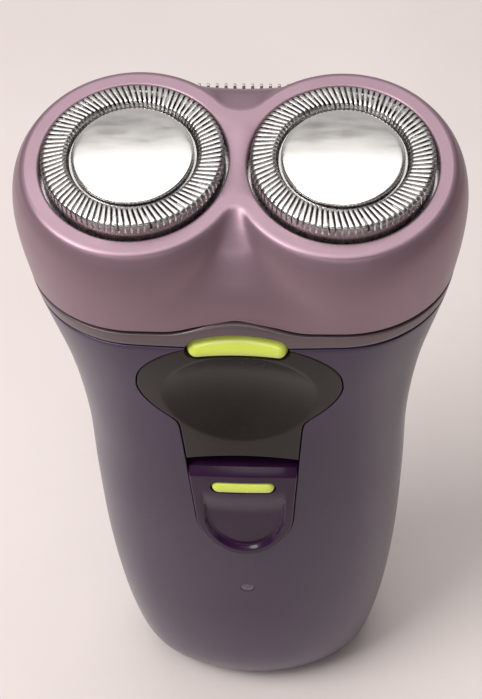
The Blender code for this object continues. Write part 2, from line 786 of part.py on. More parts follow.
seam = GAP / 2
wall_core = tool("wall_core", handle_solid(WALL / 2, BASE_WALL / 2))
front_shell = part("front_shell", handle_solid(), VIOLET)
cut(front_shell, tool("behind_seam", far_box(-seam, 0.06)), front_cavity)
board_posts = [
    ((x, surface_y(x, z, 0, -1), z), (x, board_y - GAP, z))
    for x in (-0.011, 0.011)
    for z in (BOARD_BASE + 0.006, board_top - 0.006)
]
front_bosses = tool("front_bosses", rods(BOSS_RADIUS, boss_pairs(-1, seam), 12))
posts_inside = tool("board_posts", rods(0.0015, board_posts, 8))
for inside in (front_bosses, posts_inside):
    keep(inside, wall_core)
    join(front_shell, inside, solver="MANIFOLD")
screw_pilots = [
    ((s * x, seam + 0.001, z), (s * x, -SCREW_BITE - 0.001, z)) for x, z in BOSS_PLACES for s in (-1, 1)
]
cut(front_shell, tool("screw_pilots", rods(SCREW_RADIUS + GAP, screw_pilots, 10)))
cut(front_shell, keyhole_pocket, peg_slot, light_hole, inlet_hole, button_notch, button_chamber)

rear_shell = part("rear_shell", handle_solid(), VIOLET)
cut(rear_shell, tool("before_seam", far_box(-0.06, seam)), rear_cavity)
rear_bosses = tool("rear_bosses", rods(BOSS_RADIUS, boss_pairs(1, seam), 12))
keep(rear_bosses, wall_core)
join(rear_shell, rear_bosses, solver="MANIFOLD")
rib_top = surface_y(0, 0.03, 0, 1)
for number, height in enumerate((CELL_BASE + 0.010, CELL_BASE + 0.034)):
    rib_half = 2 * CELL_RADIUS
    rib_box = block((-rib_half, CELL_Y, height), (rib_half, rib_top, height + 0.002))
    rib = tool(f"cell_rib_{number}", rib_box)
    cell_radius = CELL_RADIUS + GAP
    for side, x in (("left", -cell_radius), ("right", cell_radius)):
        room = rod(cell_radius, (x, CELL_Y, height - 0.001), (x, CELL_Y, height + 0.003), segments=20)
        cut(rib, tool(f"rib_cell_{number}_{side}", room))
    keep(rib, wall_core)
    join(rear_shell, rib, solver="MANIFOLD")
screw_holes, head_holes, screw_seats = [], [], []
for x, z in BOSS_PLACES:
    for s in (-1, 1):
        seat = surface_y(s * x, z, 0, 1) - SCREW_HEAD_HEIGHT - 0.0006
        screw_seats.append((s * x, seat, z))
        screw_holes.append(((s * x, -0.001, z), (s * x, seat + 0.0005, z)))
        head_holes.append(((s * x, seat, z), (s * x, seat + 0.006, z)))
cut(rear_shell, tool("screw_holes", rods(SCREW_RADIUS + GAP, screw_holes, 10)))
cut(rear_shell, tool("head_holes", rods(SCREW_HEAD + GAP, head_holes, 14)))
hinge_y = POCKET_Y + HINGE_RADIUS + GAP
hinge_z = POCKET_BASE + HINGE_UP
pin_half = pocket_half + PIN_BITE
pin_hole = tool(
    "pin_hole",
    rod(HINGE_PIN + GAP, (-pin_half - GAP, hinge_y, hinge_z), (pin_half + GAP, hinge_y, hinge_z), 12),
)
cut(rear_shell, inlet_hole, trimmer_pocket, pin_hole)

for number, (x, seat, z) in enumerate(screw_seats, 1):
    bm = bmesh.new()
    put_rod(bm, SCREW_HEAD, (x, seat + GAP, z), (x, seat + GAP + SCREW_HEAD_HEIGHT, z), 16)
    screw = part(f"housing_screw_{number}", mesh_of(bm), BLADE_STEEL)
    shank = rod(SCREW_RADIUS, (x, seat + 2 * GAP, z), (x, -SCREW_BITE, z), 10)
    join(screw, tool(f"screw_shank_{number}", shank))
    slot_floor = seat + GAP + SCREW_HEAD_HEIGHT - 0.0005
    slot = block((x - 0.0004, slot_floor, z - 0.0014), (x + 0.0004, seat + 0.006, z + 0.0014))
    cut(screw, tool(f"screw_slot_{number}", slot))

# Thumb panel, switch and release button

panel_back = -POCKET_FRONT - GAP
body_skin = tool("body_skin", handle_solid())
thumb_panel = part(
    "thumb_panel",
    prism(
        keyhole(slot_top, HANDLE_HEIGHT + OVERSHOOT / 4, 0, low_arch=PANEL_ARCH, steps=16),
        -0.03,
        panel_back,
    ),
    PANEL_BLACK,
)
keep(thumb_panel, body_skin)
dish_z = HANDLE_HEIGHT - DISH_DOWN
dish_front = surface_y(0, dish_z, 0, -1)
dish_scale = 1 / math.sqrt(1 - (DISH_OUT / (DISH_OUT + DISH_DEPTH)) ** 2)
dish_size = (DISH_WIDTH * dish_scale, DISH_OUT + DISH_DEPTH, DISH_HEIGHT * dish_scale)
cut(thumb_panel, tool("thumb_dish", ellipsoid((0, dish_front - DISH_OUT, dish_z), dish_size, 24)))
cut(thumb_panel, button_notch, button_chamber)

proud_skin = tool("proud_skin", handle_solid(-SWITCH_PROUD))
switch_top = slot_top - SWITCH_GAP
switch_slider = part(
    "switch_slider",
    prism(keyhole(slot_low + GAP, switch_top, -GAP, high_arch=SWITCH_ARCH, steps=14), -0.03, panel_back),
    PURPLE,
)
keep(switch_slider, proud_skin)
scoop_z = HANDLE_HEIGHT - SCOOP_DOWN
scoop_front = surface_y(0, scoop_z, -SWITCH_PROUD, -1)
scoop_size = (SCOOP_WIDTH, SCOOP_OUT + SCOOP_DEPTH, SCOOP_HEIGHT)
scoop = ellipsoid((0, scoop_front - SCOOP_OUT, scoop_z), scoop_size, 20)
cut(switch_slider, tool("switch_scoop", scoop))
join(
    switch_slider,
    tool(
        "switch_peg",
        block(
            (-PEG_WIDTH, panel_back - 0.0005, peg_top - 2 * PEG_HEIGHT),
            (PEG_WIDTH, board_y - 0.0037, peg_top),
        ),
    ),
)
bar_z = HANDLE_HEIGHT - BAR_DOWN
bar_front = surface_y(0, bar_z, -SWITCH_PROUD, -1)
cut(
    switch_slider,
    tool(
        "bar_seat",
        prism(capsule(BAR_WIDTH, BAR_HEIGHT, bar_z, BAR_ARCH, grow=GAP), -0.03, bar_front + BAR_SEAT),
    ),
)
switch_bar = part(
    "switch_bar",
    prism(
        capsule(BAR_WIDTH, BAR_HEIGHT, bar_z, BAR_ARCH),
        bar_front - BAR_PROUD,
        bar_front + BAR_SEAT - GAP,
    ),
    LIME,
)

button_front = surface_y(0, HANDLE_HEIGHT, 0, -1) - BUTTON_PROUD
flange_front = -CHAMBER_FRONT + GAP
flange_back = flange_front + 0.0008
release_button = part(
    "release_button",
    prism(
        capsule(BUTTON_WIDTH, BUTTON_HEIGHT, button_z, BUTTON_ARCH, BUTTON_CROWN),
        button_front,
        flange_front + 0.0003,
    ),
    LIME,
)
round_edges(release_button, 0.0007, 1)
spring_z = (chamber_low + chamber_high) / 2
spring_radius = 0.0012
join(
    release_button,
    tool(
        "button_flange",
        block(
            (-chamber_half + GAP, flange_front, chamber_low + GAP),
            (chamber_half - GAP, flange_back, chamber_high - GAP),
        ),
    ),
    tool(
        "spring_guide",
        rod(0.0007, (0, flange_front + 0.0004, spring_z), (0, flange_back + 0.0018, spring_z), 10),
    ),
)
spring(
    "release_spring", spring_radius, -SEAT_FRONT - flange_back - 2 * GAP - SPRING_WIRE, SPRING_TURNS,
    BLADE_STEEL, location=(0, -SEAT_FRONT - GAP - SPRING_WIRE / 2, spring_z), rotation=(math.pi / 2, 0, 0),
)

# Collar

collar = part(
    "collar",
    loft([body_ring(COLLAR_BASE), body_ring((COLLAR_BASE + PARTING) / 2), arched_ring(PARTING)]),
    COLLAR_GREY,
)
plug_inset = WALL + SPIGOT_GAP
spigot_top = casing_ring(HEAD_HEIGHT - PARTING - SPIGOT, plug_inset + SPIGOT_DRAW)
collar_plug = tool(
    "collar_plug",
    loft(
        [
            body_ring(COLLAR_BASE - SPIGOT, WALL + GAP),
            body_ring(COLLAR_BASE + GAP, WALL + GAP),
            body_ring(PARTING - GAP, plug_inset),
            [p - Vector((0, math.tan(HEAD_TILT) * SPIGOT / 2, 0)) for p in spigot_top],
        ]
    ),
)
plug_end = COLLAR_BASE + GAP / 2
wall_half = pocket_wall_half + GAP
bm = bmesh.new()
put_block(bm, (-wall_half, PLUG_REAR, 0.05), (wall_half, 0.05, plug_end))
put_block(bm, (-PAD_WIDTH - GAP, -0.05, 0.05), (PAD_WIDTH + GAP, -PAD_BACK + GAP, plug_end))
# The spigot's rear is cut back for the pocket's wall in the casing, which lifts along the head's axis.
pocket_front = POCKET_Y - POCKET_WALL + HEAD_FORWARD
spigot_rear = (pocket_front - CASING_HEIGHT * math.sin(HEAD_TILT)) / math.cos(HEAD_TILT) - SPIGOT_GAP
spigot_foot = CASING_HEIGHT + 0.0024
spigot_relief = block((-wall_half, spigot_rear, -spigot_foot), (wall_half, 0.05, OVERSHOOT))
cut(collar_plug, tool("plug_relief", mesh_of(bm)), tool("spigot_relief", spigot_relief, parent=head_axis))
join(collar, collar_plug, solver="MANIFOLD")
hollow = plug_inset + SPIGOT_WALL
spigot_backing = tool(
    "spigot_backing",
    block((-wall_half, spigot_rear - SPIGOT_WALL, GAP - GEAR_DROP), (wall_half, 0.05, OVERSHOOT)),
    parent=head_axis,
)
floor_ring = level_ring(PARTING, hollow + SPIGOT_DRAW, FLOOR_DROP)
above_floor = tool("above_floor", loft([floor_ring, [p + Vector((0, 0, 0.012)) for p in floor_ring]]))
below_floor = tool(
    "below_floor",
    loft(
        [
            body_ring(COLLAR_BASE - SPIGOT - OVERSHOOT, WALL + GAP + SPIGOT_WALL),
            body_ring(COLLAR_BASE, hollow),
            level_ring(COLLAR_BASE, hollow, FLOOR_DROP + FLOOR_THICKNESS),
        ]
    ),
)
for space in (above_floor, below_floor):
    cut(space, spigot_backing)
cut(collar, above_floor, below_floor, solver="MANIFOLD")
join(
    collar,
    tool(
        "spring_seat",
        block(
            (-0.0026, -SEAT_FRONT, chamber_low + GAP),
            (0.0026, -SEAT_FRONT + SEAT_THICKNESS, HANDLE_HEIGHT + SEAT_UP),
        ),
    ),
    solver="MANIFOLD",
)
spindle_ways = [((x, 0, -FLOOR_DROP + 0.003), (x, 0, -FLOOR_DROP - 0.005)) for _, x in SIDES]
ways = tool("spindle_ways", rods(SLEEVE_RADIUS + 2 * GAP, spindle_ways, 20), parent=head_axis)
cut(collar, ways, solver="MANIFOLD")
cut(collar, button_notch, button_chamber, trimmer_pocket, solver="MANIFOLD")

# Shaving unit

casing_drops = (0.0156, 0.0130, 0.0103, 0.0076, 0.0060, 0.0046, 0.0034, 0.0026, 0.0020, CASING_DROP)
head_casing = part(
    "head_casing", loft([arched_ring(CASING_BASE)] + [casing_ring(drop) for drop in casing_drops]), MAUVE
)
inner_drops = (0.0142, 0.0106, 0.0076, 0.0053, CASING_DROP + CASING_LIP)
inner_rings = [body_ring(CASING_BASE, WALL)]
inner_rings.insert(0, [p - Vector((0, 0, OVERSHOOT)) for p in inner_rings[0]])
casing_cavity = tool("casing_cavity", loft(inner_rings + [casing_ring(drop, WALL) for drop in inner_drops]))
cut(casing_cavity, pocket_backing)
cut(head_casing, trimmer_pocket, casing_cavity)
lug_drop = FRAME_DROP + FRAME_THICKNESS + LOCK_THICKNESS + 3 * GAP
bm = bmesh.new()
front_wall = smooth_value(CASING, 3, lug_drop) - WALL
for reach in ((-front_wall - 0.0008, -LUG_REACH), (LUG_REACH, pocket_front)):
    put_block(bm, (-0.0022, reach[0], -lug_drop - LUG_THICKNESS), (0.0022, reach[1], -lug_drop))
join(head_casing, tool("lock_lugs", mesh_of(bm), parent=head_axis))
hole_radius = GUARD_RADIUS + 0.0004
hole_drop = CASING_DROP + CASING_LIP + hole_radius * math.tan(CASING_LEAN) + GAP
guard_holes = [((x, 0, OVERSHOOT), (x, 0, -hole_drop)) for _, x in SIDES]
cut(head_casing, tool("guard_holes", rods(hole_radius, guard_holes, 36), parent=head_axis))

frame_outline = outline_points(REACH, FRAME_END, FRAME_END - 0.0022, FRAME_END - 0.0022, INNER_POINTS)
frame_holes = [circle(CARRIER_HUB + 0.0032, 18, (x, 0)) for _, x in SIDES]
frame_holes.append(circle(STEM_RADIUS - GAP, 14))
part(
    "retaining_frame", plate([frame_outline] + frame_holes, FRAME_THICKNESS), BLACK_PLASTIC,
    parent=head_axis, location=head_point(0, 0, FRAME_DROP + FRAME_THICKNESS / 2),
)

lock_top = FRAME_DROP + FRAME_THICKNESS + GAP
bm = bmesh.new()
put_rod(bm, LOCK_RADIUS, (0, 0, 0), (0, 0, -LOCK_THICKNESS), 24)
at_lock = {"parent": head_axis, "location": head_point(0, 0, lock_top)}
lock_wheel = part("lock_wheel", mesh_of(bm), BLACK_PLASTIC, **at_lock)
wings = block((-0.0018, -LOCK_WING, -LOCK_THICKNESS), (0.0018, LOCK_WING, -0.00001))
grip_reach = LOCK_RADIUS - 0.0005
grip = block((-0.0007, -grip_reach, -LOCK_THICKNESS - LOCK_GRIP), (0.0007, grip_reach, -0.0003))
stub = rod(STEM_RADIUS - 2 * GAP, (0, 0, -0.0004), (0, 0, FRAME_THICKNESS), 14)
for name, shape in (("lock_wings", wings), ("lock_grip", grip), ("lock_stub", stub)):
    join(lock_wheel, tool(name, shape, **at_lock))


def guard_profile():
    """Top edge, skirt and flange outside, then back up the inside to the well for the cap."""
    inside = GUARD_RADIUS - GUARD_SHEET
    well = CAP_RADIUS + GAP
    track = well + WELL_SLOPE
    hole = STEM_RADIUS + GAP
    return (
        (GUARD_RADIUS - GUARD_EDGE, 0),
        (GUARD_RADIUS, -GUARD_EDGE),
        (GUARD_RADIUS, -GUARD_SKIRT),
        (GUARD_RADIUS + FLANGE_WIDTH, -GUARD_SKIRT),
        (GUARD_RADIUS + FLANGE_WIDTH, -GUARD_SKIRT - FLANGE_THICKNESS),
        (inside, -GUARD_SKIRT - FLANGE_THICKNESS),
        (inside, -GUARD_SHEET),
        (track + GUARD_SHEET / 2, -GUARD_SHEET),
        (well + GUARD_SHEET / 2, -WELL_DEPTH - GUARD_SHEET),
        (hole, -WELL_DEPTH - GUARD_SHEET),
        (hole, -WELL_DEPTH),
        (well, -WELL_DEPTH),
        (track, 0),
    )


def slot_cutter():
    inner = CAP_RADIUS + GAP + WELL_SLOPE + GUARD_SHEET
    outer = GUARD_RADIUS + 0.0005
    bm = bmesh.new()
    for i in range(SLOT_COUNT):
        spin = Matrix.Rotation(math.tau * i / SLOT_COUNT, 4, "Z")
        slant = Matrix.Translation((inner, 0, 0)) @ Matrix.Rotation(SLOT_SLANT, 4, "Z")
        low = (0, -SLOT_WIDTH / 2, -SLOT_DEPTH)
        high = (outer - inner + 0.0003, SLOT_WIDTH / 2, 0.0005)
        put_block(bm, low, high, spin @ slant)
    return mesh_of(bm)


def cutter_mesh():
    """A steel ring with its blades standing under the guard's track."""
    inner, outer = CARRIER_HUB + GAP, GUARD_RADIUS - GUARD_SHEET - RUNNING
    return plate([circle(outer, 24), circle(inner, 16)], CUTTER_SHEET)


def blade_mesh():
    inner = CAP_RADIUS + GAP + WELL_SLOPE + GUARD_SHEET + RUNNING
    outer = GUARD_RADIUS - GUARD_SHEET - RUNNING - 0.0002
    bm = bmesh.new()
    for i in range(CUTTER_COUNT):
        spin = Matrix.Rotation(math.tau * i / CUTTER_COUNT, 4, "Z")
        rake = Matrix.Translation((0, 0, -CUTTER_DROP)) @ Matrix.Rotation(math.radians(12), 4, "X")
        top = CUTTER_DROP - BLADE_DROP - 0.0002
        put_block(bm, (inner, -0.0003, -0.0004), (outer, 0.0003, top), spin @ rake)
    return mesh_of(bm)


carrier_top = CUTTER_DROP + CUTTER_SHEET + GAP
cap_under = WELL_DEPTH - GAP
for side, x in SIDES:
    at_head = {"parent": head_axis, "location": (x, 0, 0)}
    guard = turn(part(f"guard_{side}", turned(guard_profile(), closed=True), STEEL, **at_head), 26)
    cut(guard, tool(f"guard_slots_{side}", slot_cutter(), **at_head))
    cap = (
        (0, CAP_CROWN - CAP_SUNK),
        (0.55 * CAP_RADIUS, 0.7 * CAP_CROWN - CAP_SUNK),
        (CAP_RADIUS - 0.0006, -CAP_SUNK),
        (CAP_RADIUS, -CAP_SUNK - 0.0002),
        (CAP_RADIUS, -cap_under),
        (STEM_RADIUS, -cap_under),
        (STEM_RADIUS, -WELL_DEPTH - GUARD_SHEET - GAP),
        (0, -WELL_DEPTH - GUARD_SHEET - GAP),
    )
    turn(part(f"guard_cap_{side}", turned(cap), STEEL, **at_head), 26)
    cutter = part(
        f"cutter_{side}", cutter_mesh(), BLADE_STEEL,
        parent=head_axis, location=head_point(x, 0, CUTTER_DROP + CUTTER_SHEET / 2),
    )
    join(cutter, tool(f"cutter_blades_{side}", blade_mesh(), **at_head))
    carrier = (
        (0, -WELL_DEPTH - GUARD_SHEET - 3 * GAP),
        (CARRIER_HUB, -WELL_DEPTH - GUARD_SHEET - 3 * GAP),
        (CARRIER_HUB, -carrier_top),
        (CARRIER_RADIUS, -carrier_top),
        (CARRIER_RADIUS, -carrier_top - CARRIER_SHEET),
        (CARRIER_HUB, -carrier_top - CARRIER_SHEET),
        (CARRIER_HUB, -CARRIER_FOOT),
        (0, -CARRIER_FOOT),
    )
    holder = turn(part(f"cutter_carrier_{side}", turned(carrier), BLACK_PLASTIC, **at_head), 14)
    socket = rod(SPINDLE_TIP + GAP, (0, 0, -CARRIER_FOOT - OVERSHOOT), (0, 0, -SOCKET_DROP), 6)
    cut(holder, tool(f"drive_socket_{side}", socket, **at_head))

# Drive

for side, x in SIDES:
    at_head = {"parent": head_axis, "location": (x, 0, 0)}
    shaft = rod(SPINDLE_RADIUS, (0, 0, -SPINDLE_FOOT), (0, 0, -SPINDLE_SHOULDER), 16)
    spindle = part(f"spindle_{side}", shaft, BLADE_STEEL, **at_head)
    tip = rod(SPINDLE_TIP, (0, 0, -SPINDLE_SHOULDER - 0.001), (0, 0, -SOCKET_DROP - GAP), 6)
    join(spindle, tool(f"spindle_tip_{side}", tip, **at_head))
    gear_middle = GEAR_DROP + GEAR_THICKNESS / 2
    half_pitch = math.pi / GEAR_TEETH
    gear_lines = [gear_outline(GEAR_TEETH, half_pitch), circle(AXLE_RADIUS + GAP, 12)]
    gear = part(
        f"drive_gear_{side}", plate(gear_lines, GEAR_THICKNESS), WHITE_PLASTIC,
        parent=head_axis, location=head_point(x, 0, gear_middle),
    )
    sleeve = turn(
        tool(
            f"gear_sleeve_{side}",
            turned(
                (
                    (SLEEVE_RADIUS, -SLEEVE_TOP),
                    (SLEEVE_RADIUS, -GEAR_DROP - 0.0005),
                    (SLEEVE_BORE, -GEAR_DROP - 0.0005),
                    (SLEEVE_BORE, -SLEEVE_TOP),
                ),
                closed=True,
            ),
            **at_head,
        ),
        12,
    )
    join(gear, sleeve)
    axle = rod(AXLE_RADIUS, (0, 0, -PLATE_DROP - PLATE_THICKNESS), (0, 0, -AXLE_TOP), 10)
    part(f"gear_axle_{side}", axle, BLADE_STEEL, **at_head)
    spring_room = GEAR_DROP - SPINDLE_FOOT - 2 * GAP - SPRING_WIRE
    spring(
        f"spindle_spring_{side}", AXLE_RADIUS + GAP + SPRING_WIRE, spring_room, SPRING_TURNS, BLADE_STEEL,
        parent=head_axis, location=head_point(x, 0, GEAR_DROP - GAP - SPRING_WIRE / 2),
    )

pinion_lines = [gear_outline(PINION_TEETH, 0), circle(SHAFT_RADIUS + GAP / 2, 12)]
part(
    "pinion", plate(pinion_lines, GEAR_THICKNESS), BRASS,
    parent=head_axis, location=head_point(0, 0, GEAR_DROP + GEAR_THICKNESS / 2),
)
motor_top = PLATE_DROP + PLATE_THICKNESS + GAP
motor_foot = motor_top + MOTOR_LENGTH
shaft_foot = motor_top + 0.004
shaft = rod(SHAFT_RADIUS, (0, 0, -shaft_foot), (0, 0, -GEAR_DROP + 0.0006), 12)
part("motor_shaft", shaft, BLADE_STEEL, parent=head_axis)

plate_outline = outline_points(REACH, PLATE_END, PLATE_END + PLATE_BOW, PLATE_END + PLATE_BOW, INNER_POINTS)
plate_holes = [circle(SHAFT_RADIUS + 2 * GAP, 14)]
plate_holes += [circle(AXLE_RADIUS + GAP, 12, (x, 0)) for _, x in SIDES]
plate_holes += [circle(0.0011, 10, (0, s * SCREW_REACH)) for s in (-1, 1)]
gear_plate = part(
    "gear_plate", plate([plate_outline] + plate_holes, PLATE_THICKNESS), BLADE_STEEL,
    parent=head_axis, location=head_point(0, 0, PLATE_DROP + PLATE_THICKNESS / 2),
)
post_foot, post_top = -PLATE_DROP - 0.0005, -FLOOR_DROP - FLOOR_THICKNESS - GAP
post_places = [(sx * POST_X, sy * POST_Y) for sx in (-1, 1) for sy in (-1, 1)]
posts = [((*place, post_foot), (*place, post_top)) for place in post_places]
join(gear_plate, tool("plate_posts", rods(POST_RADIUS, posts, 8), parent=head_axis))


def motor_outline():
    """A round can with a flat on its front and rear."""
    lean = math.asin(MOTOR_FLAT / MOTOR_RADIUS)
    right = [-lean + 2 * lean * i / 10 for i in range(11)]
    points = [(MOTOR_RADIUS * math.cos(a), MOTOR_RADIUS * math.sin(a)) for a in right]
    return points + [(-x, -y) for x, y in points]


motor_can = part(
    "motor_can", plate([motor_outline()], MOTOR_LENGTH), BLADE_STEEL,
    parent=head_axis, location=head_point(0, 0, motor_top + MOTOR_LENGTH / 2),
)
motor_holes = [((0, 0, -motor_top + 0.001), (0, 0, -shaft_foot - GAP))]
cut(motor_can, tool("shaft_hole", rods(SHAFT_RADIUS + GAP, motor_holes, 14), parent=head_axis))
bore_run = (-motor_top + 0.001, -motor_top - 0.0028)
screw_bores = [[(0, s * SCREW_REACH, z) for z in bore_run] for s in (-1, 1)]
cut(motor_can, tool("motor_screw_bores", rods(0.0011, screw_bores, 10), parent=head_axis))
part(
    "motor_cap", plate([motor_outline()], MOTOR_CAP), BLACK_PLASTIC,
    parent=head_axis, location=head_point(0, 0, motor_foot + GAP + MOTOR_CAP / 2),
)
for name, s in (("front", -1), ("rear", 1)):
    y = s * SCREW_REACH
    head = rod(0.0016, (0, y, -PLATE_DROP + GAP), (0, y, -PLATE_DROP + 0.0011), 12)
    screw = part(f"motor_screw_{name}", head, BLADE_STEEL, parent=head_axis)
    shank = rod(0.0008, (0, y, -PLATE_DROP + 0.0006), (0, y, -motor_top - 0.0024), 10)
    join(screw, tool(f"motor_shank_{name}", shank, parent=head_axis))

# Power inside the handle

for side, s in (("left", -1), ("right", 1)):
    x = s * (CELL_RADIUS + GAP)
    cell_top = CELL_BASE + CELL_LENGTH
    can = rod(CELL_RADIUS, (x, CELL_Y, CELL_BASE), (x, CELL_Y, cell_top - CELL_TIP), 24)
    cell = part(f"battery_cell_{side}", can, CELL_GREEN)
    tip = rod(CELL_TIP_RADIUS, (x, CELL_Y, CELL_BASE + 0.001), (x, CELL_Y, cell_top), 14)
    join(cell, tool(f"cell_tip_{side}", tip))

board_back = board_y + BOARD_THICKNESS
part(
    "circuit_board",
    block((-BOARD_WIDTH / 2, board_y, BOARD_BASE), (BOARD_WIDTH / 2, board_back, board_top)),
    BOARD_GREEN,
)
switch_z = peg_top - PEG_HEIGHT
block_low = (-0.004, board_y - GAP - 0.0026, switch_z - 0.0045)
switch_block = part(
    "switch_block", block(block_low, (0.004, board_y - GAP, switch_z + 0.0045)), BLACK_PLASTIC
)
round_edges(switch_block, 0.0003, 1)


def light_rod(radius, front, back, segments):
    return rod(radius, (0, front, LIGHT_HEIGHT), (0, back, LIGHT_HEIGHT), segments)


lamp_front = board_y - GAP - LAMP_LENGTH
lamp = part("charge_lamp", light_rod(0.0012, lamp_front, board_y - GAP, 12), LIGHT_CLEAR)
round_edges(lamp, 0.0004, 1)
pipe = part("pilot_light", light_rod(LIGHT_RADIUS, light_front, lamp_front - GAP, 14), LIGHT_CLEAR)
collar_front = light_front + WALL + 2 * GAP
join(pipe, tool("light_collar", light_rod(LIGHT_RADIUS + 0.0008, collar_front, collar_front + 0.0009, 14)))

inlet_top = INLET_SUNK + INLET_HEIGHT
inlet_body = block((-inlet_x / 2, -inlet_y / 2, INLET_SUNK), (inlet_x / 2, inlet_y / 2, inlet_top))
inlet_socket = part("inlet_socket", inlet_body, BLACK_PLASTIC)
join(
    inlet_socket,
    tool(
        "inlet_flange",
        block(
            (-inlet_x / 2 - INLET_FLANGE, -inlet_y / 2 - INLET_FLANGE, BASE_WALL + GAP),
            (inlet_x / 2 + INLET_FLANGE, inlet_y / 2 + INLET_FLANGE, BASE_WALL + GAP + 0.0012),
        ),
    ),
)
recess_radius = inlet_y / 2 - 0.0009
recess_roof = inlet_top - 0.002
waist = recess_radius - 0.0004
figure_eight = outline_points(INLET_PIN_X, recess_radius, waist, waist, INNER_POINTS)
recess = plate([figure_eight], recess_roof + OVERSHOOT)
cut(inlet_socket, tool("inlet_recess", recess, location=(0, 0, (recess_roof - OVERSHOOT) / 2)))
way_run = (recess_roof - 0.001, inlet_top + 0.001)
pin_ways = [[(s * INLET_PIN_X, 0, z) for z in way_run] for s in (-1, 1)]
cut(inlet_socket, tool("pin_ways", rods(INLET_PIN + GAP, pin_ways, 12)))
for side, s in (("left", -1), ("right", 1)):
    x = s * INLET_PIN_X
    pin = rod(INLET_PIN, (x, 0, INLET_SUNK + 0.001), (x, 0, inlet_top + 0.0012), 12)
    part(f"inlet_pin_{side}", pin, BRASS)

# Trimmer

hinge = bpy.data.objects.new("trimmer_hinge", None)
hinge.location = (0, hinge_y, hinge_z)
hinge.empty_display_size = 0.01
PARTS.objects.link(hinge)
arm_half = TRIMMER_WIDTH / 2
blade_y = POCKET_Y + GAP + 0.00005
comb_y = blade_y + BLADE_SHEET + GAP
arm_y = comb_y + BLADE_SHEET + GAP
tip_up = TRIMMER_RISE - HINGE_UP
arm_front, arm_back = arm_y - hinge_y, arm_y - hinge_y + ARM_THICKNESS
arm = block((-arm_half, arm_front, 0), (arm_half, arm_back, ARM_HEIGHT))
trimmer_arm = part("trimmer_arm", arm, VIOLET, parent=hinge)
round_edges(trimmer_arm, 0.0003, 1)
barrel = rod(HINGE_RADIUS, (-arm_half, 0, 0), (arm_half, 0, 0), 16)
web = block((-arm_half, 0.0002, -HINGE_RADIUS * 0.7), (arm_half, arm_back - 0.0002, HINGE_RADIUS))
lip_low = (-LIP_WIDTH, arm_front + 0.0004, ARM_HEIGHT - LIP_DOWN)
lip = block(lip_low, (LIP_WIDTH, arm_back + LIP_PROUD, ARM_HEIGHT - LIP_DOWN + LIP_HEIGHT))
for name, shape in (("hinge_barrel", barrel), ("hinge_web", web), ("thumb_lip", lip)):
    join(trimmer_arm, tool(name, shape, parent=hinge))
bore = rod(HINGE_PIN + GAP / 2, (-0.03, 0, 0), (0.03, 0, 0), 12)
cut(trimmer_arm, tool("barrel_bore", bore, parent=hinge))
pin = rod(HINGE_PIN, (-pin_half, hinge_y, hinge_z), (pin_half, hinge_y, hinge_z), 12)
part("trimmer_pin", pin, BLADE_STEEL)

comb_foot = tip_up - 0.012
comb_front, blade_front = comb_y - hinge_y, blade_y - hinge_y
comb = comb_outline(arm_half - 0.0006, comb_foot, tip_up, 0.00034, TOOTH_COUNT)
part("trimmer_comb", prism(comb, comb_front, comb_front + BLADE_SHEET), STEEL, parent=hinge)
blade = comb_outline(arm_half - 0.0020, comb_foot + 0.002, tip_up - 0.0005, 0.0003, TOOTH_COUNT - 2)
part("trimmer_blade", prism(blade, blade_front, blade_front + BLADE_SHEET), BLADE_STEEL, parent=hinge)
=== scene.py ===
import math

import bmesh
import bpy
from mathutils import Matrix, Vector


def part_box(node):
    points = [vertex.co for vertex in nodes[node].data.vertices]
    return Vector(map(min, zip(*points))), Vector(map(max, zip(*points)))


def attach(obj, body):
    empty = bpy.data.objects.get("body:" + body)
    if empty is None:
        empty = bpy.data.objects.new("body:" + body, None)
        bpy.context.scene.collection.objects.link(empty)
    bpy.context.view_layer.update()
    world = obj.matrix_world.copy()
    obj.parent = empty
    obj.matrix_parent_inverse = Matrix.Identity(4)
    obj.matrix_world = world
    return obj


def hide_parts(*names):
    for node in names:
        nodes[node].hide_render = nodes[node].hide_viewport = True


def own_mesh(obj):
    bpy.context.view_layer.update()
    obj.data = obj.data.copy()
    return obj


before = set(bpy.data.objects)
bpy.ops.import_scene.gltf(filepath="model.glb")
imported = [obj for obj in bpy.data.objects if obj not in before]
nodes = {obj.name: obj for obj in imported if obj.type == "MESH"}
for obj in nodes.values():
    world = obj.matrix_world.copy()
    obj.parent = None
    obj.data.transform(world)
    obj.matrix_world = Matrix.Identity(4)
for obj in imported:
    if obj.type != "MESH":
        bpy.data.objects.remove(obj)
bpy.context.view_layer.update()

collection = bpy.context.scene.collection

# All shapes are drawn in millimetres and made metres when a piece is settled.
millimetre, perMetre = 0.001, 1000

# Cutters start and end outside the part, at these places.
outside = {"front": -24, "side": 60, "rear": 60, "low": -10, "high": 140}

print("frame loaded")


# Materials

def newFinish(name):
    material = bpy.data.materials.new(name)
    material.use_nodes = True
    tree = material.node_tree
    place = tree.nodes.new("ShaderNodeTexCoord").outputs["Object"]
    return material, tree, tree.nodes["Principled BSDF"], place


def addNoise(tree, place, scale, detail=3, stretch=None):
    if stretch:
        mapping = tree.nodes.new("ShaderNodeMapping")
        mapping.inputs["Scale"].default_value = stretch
        tree.links.new(place, mapping.inputs["Vector"])
        place = mapping.outputs["Vector"]
    noise = tree.nodes.new("ShaderNodeTexNoise")
    noise.inputs["Scale"].default_value = scale
    noise.inputs["Detail"].default_value = detail
    tree.links.new(place, noise.inputs["Vector"])
    return noise.outputs["Fac"]


def addRamp(tree, factor, stops):
    ramp = tree.nodes.new("ShaderNodeValToRGB")
    elements = ramp.color_ramp.elements
    while len(elements) < len(stops):
        elements.new(0.5)
    for element, (at, colour) in zip(elements, stops):
        element.position = at
        element.color = (*colour, 1)
    tree.links.new(factor, ramp.inputs["Fac"])
    return ramp.outputs["Color"]


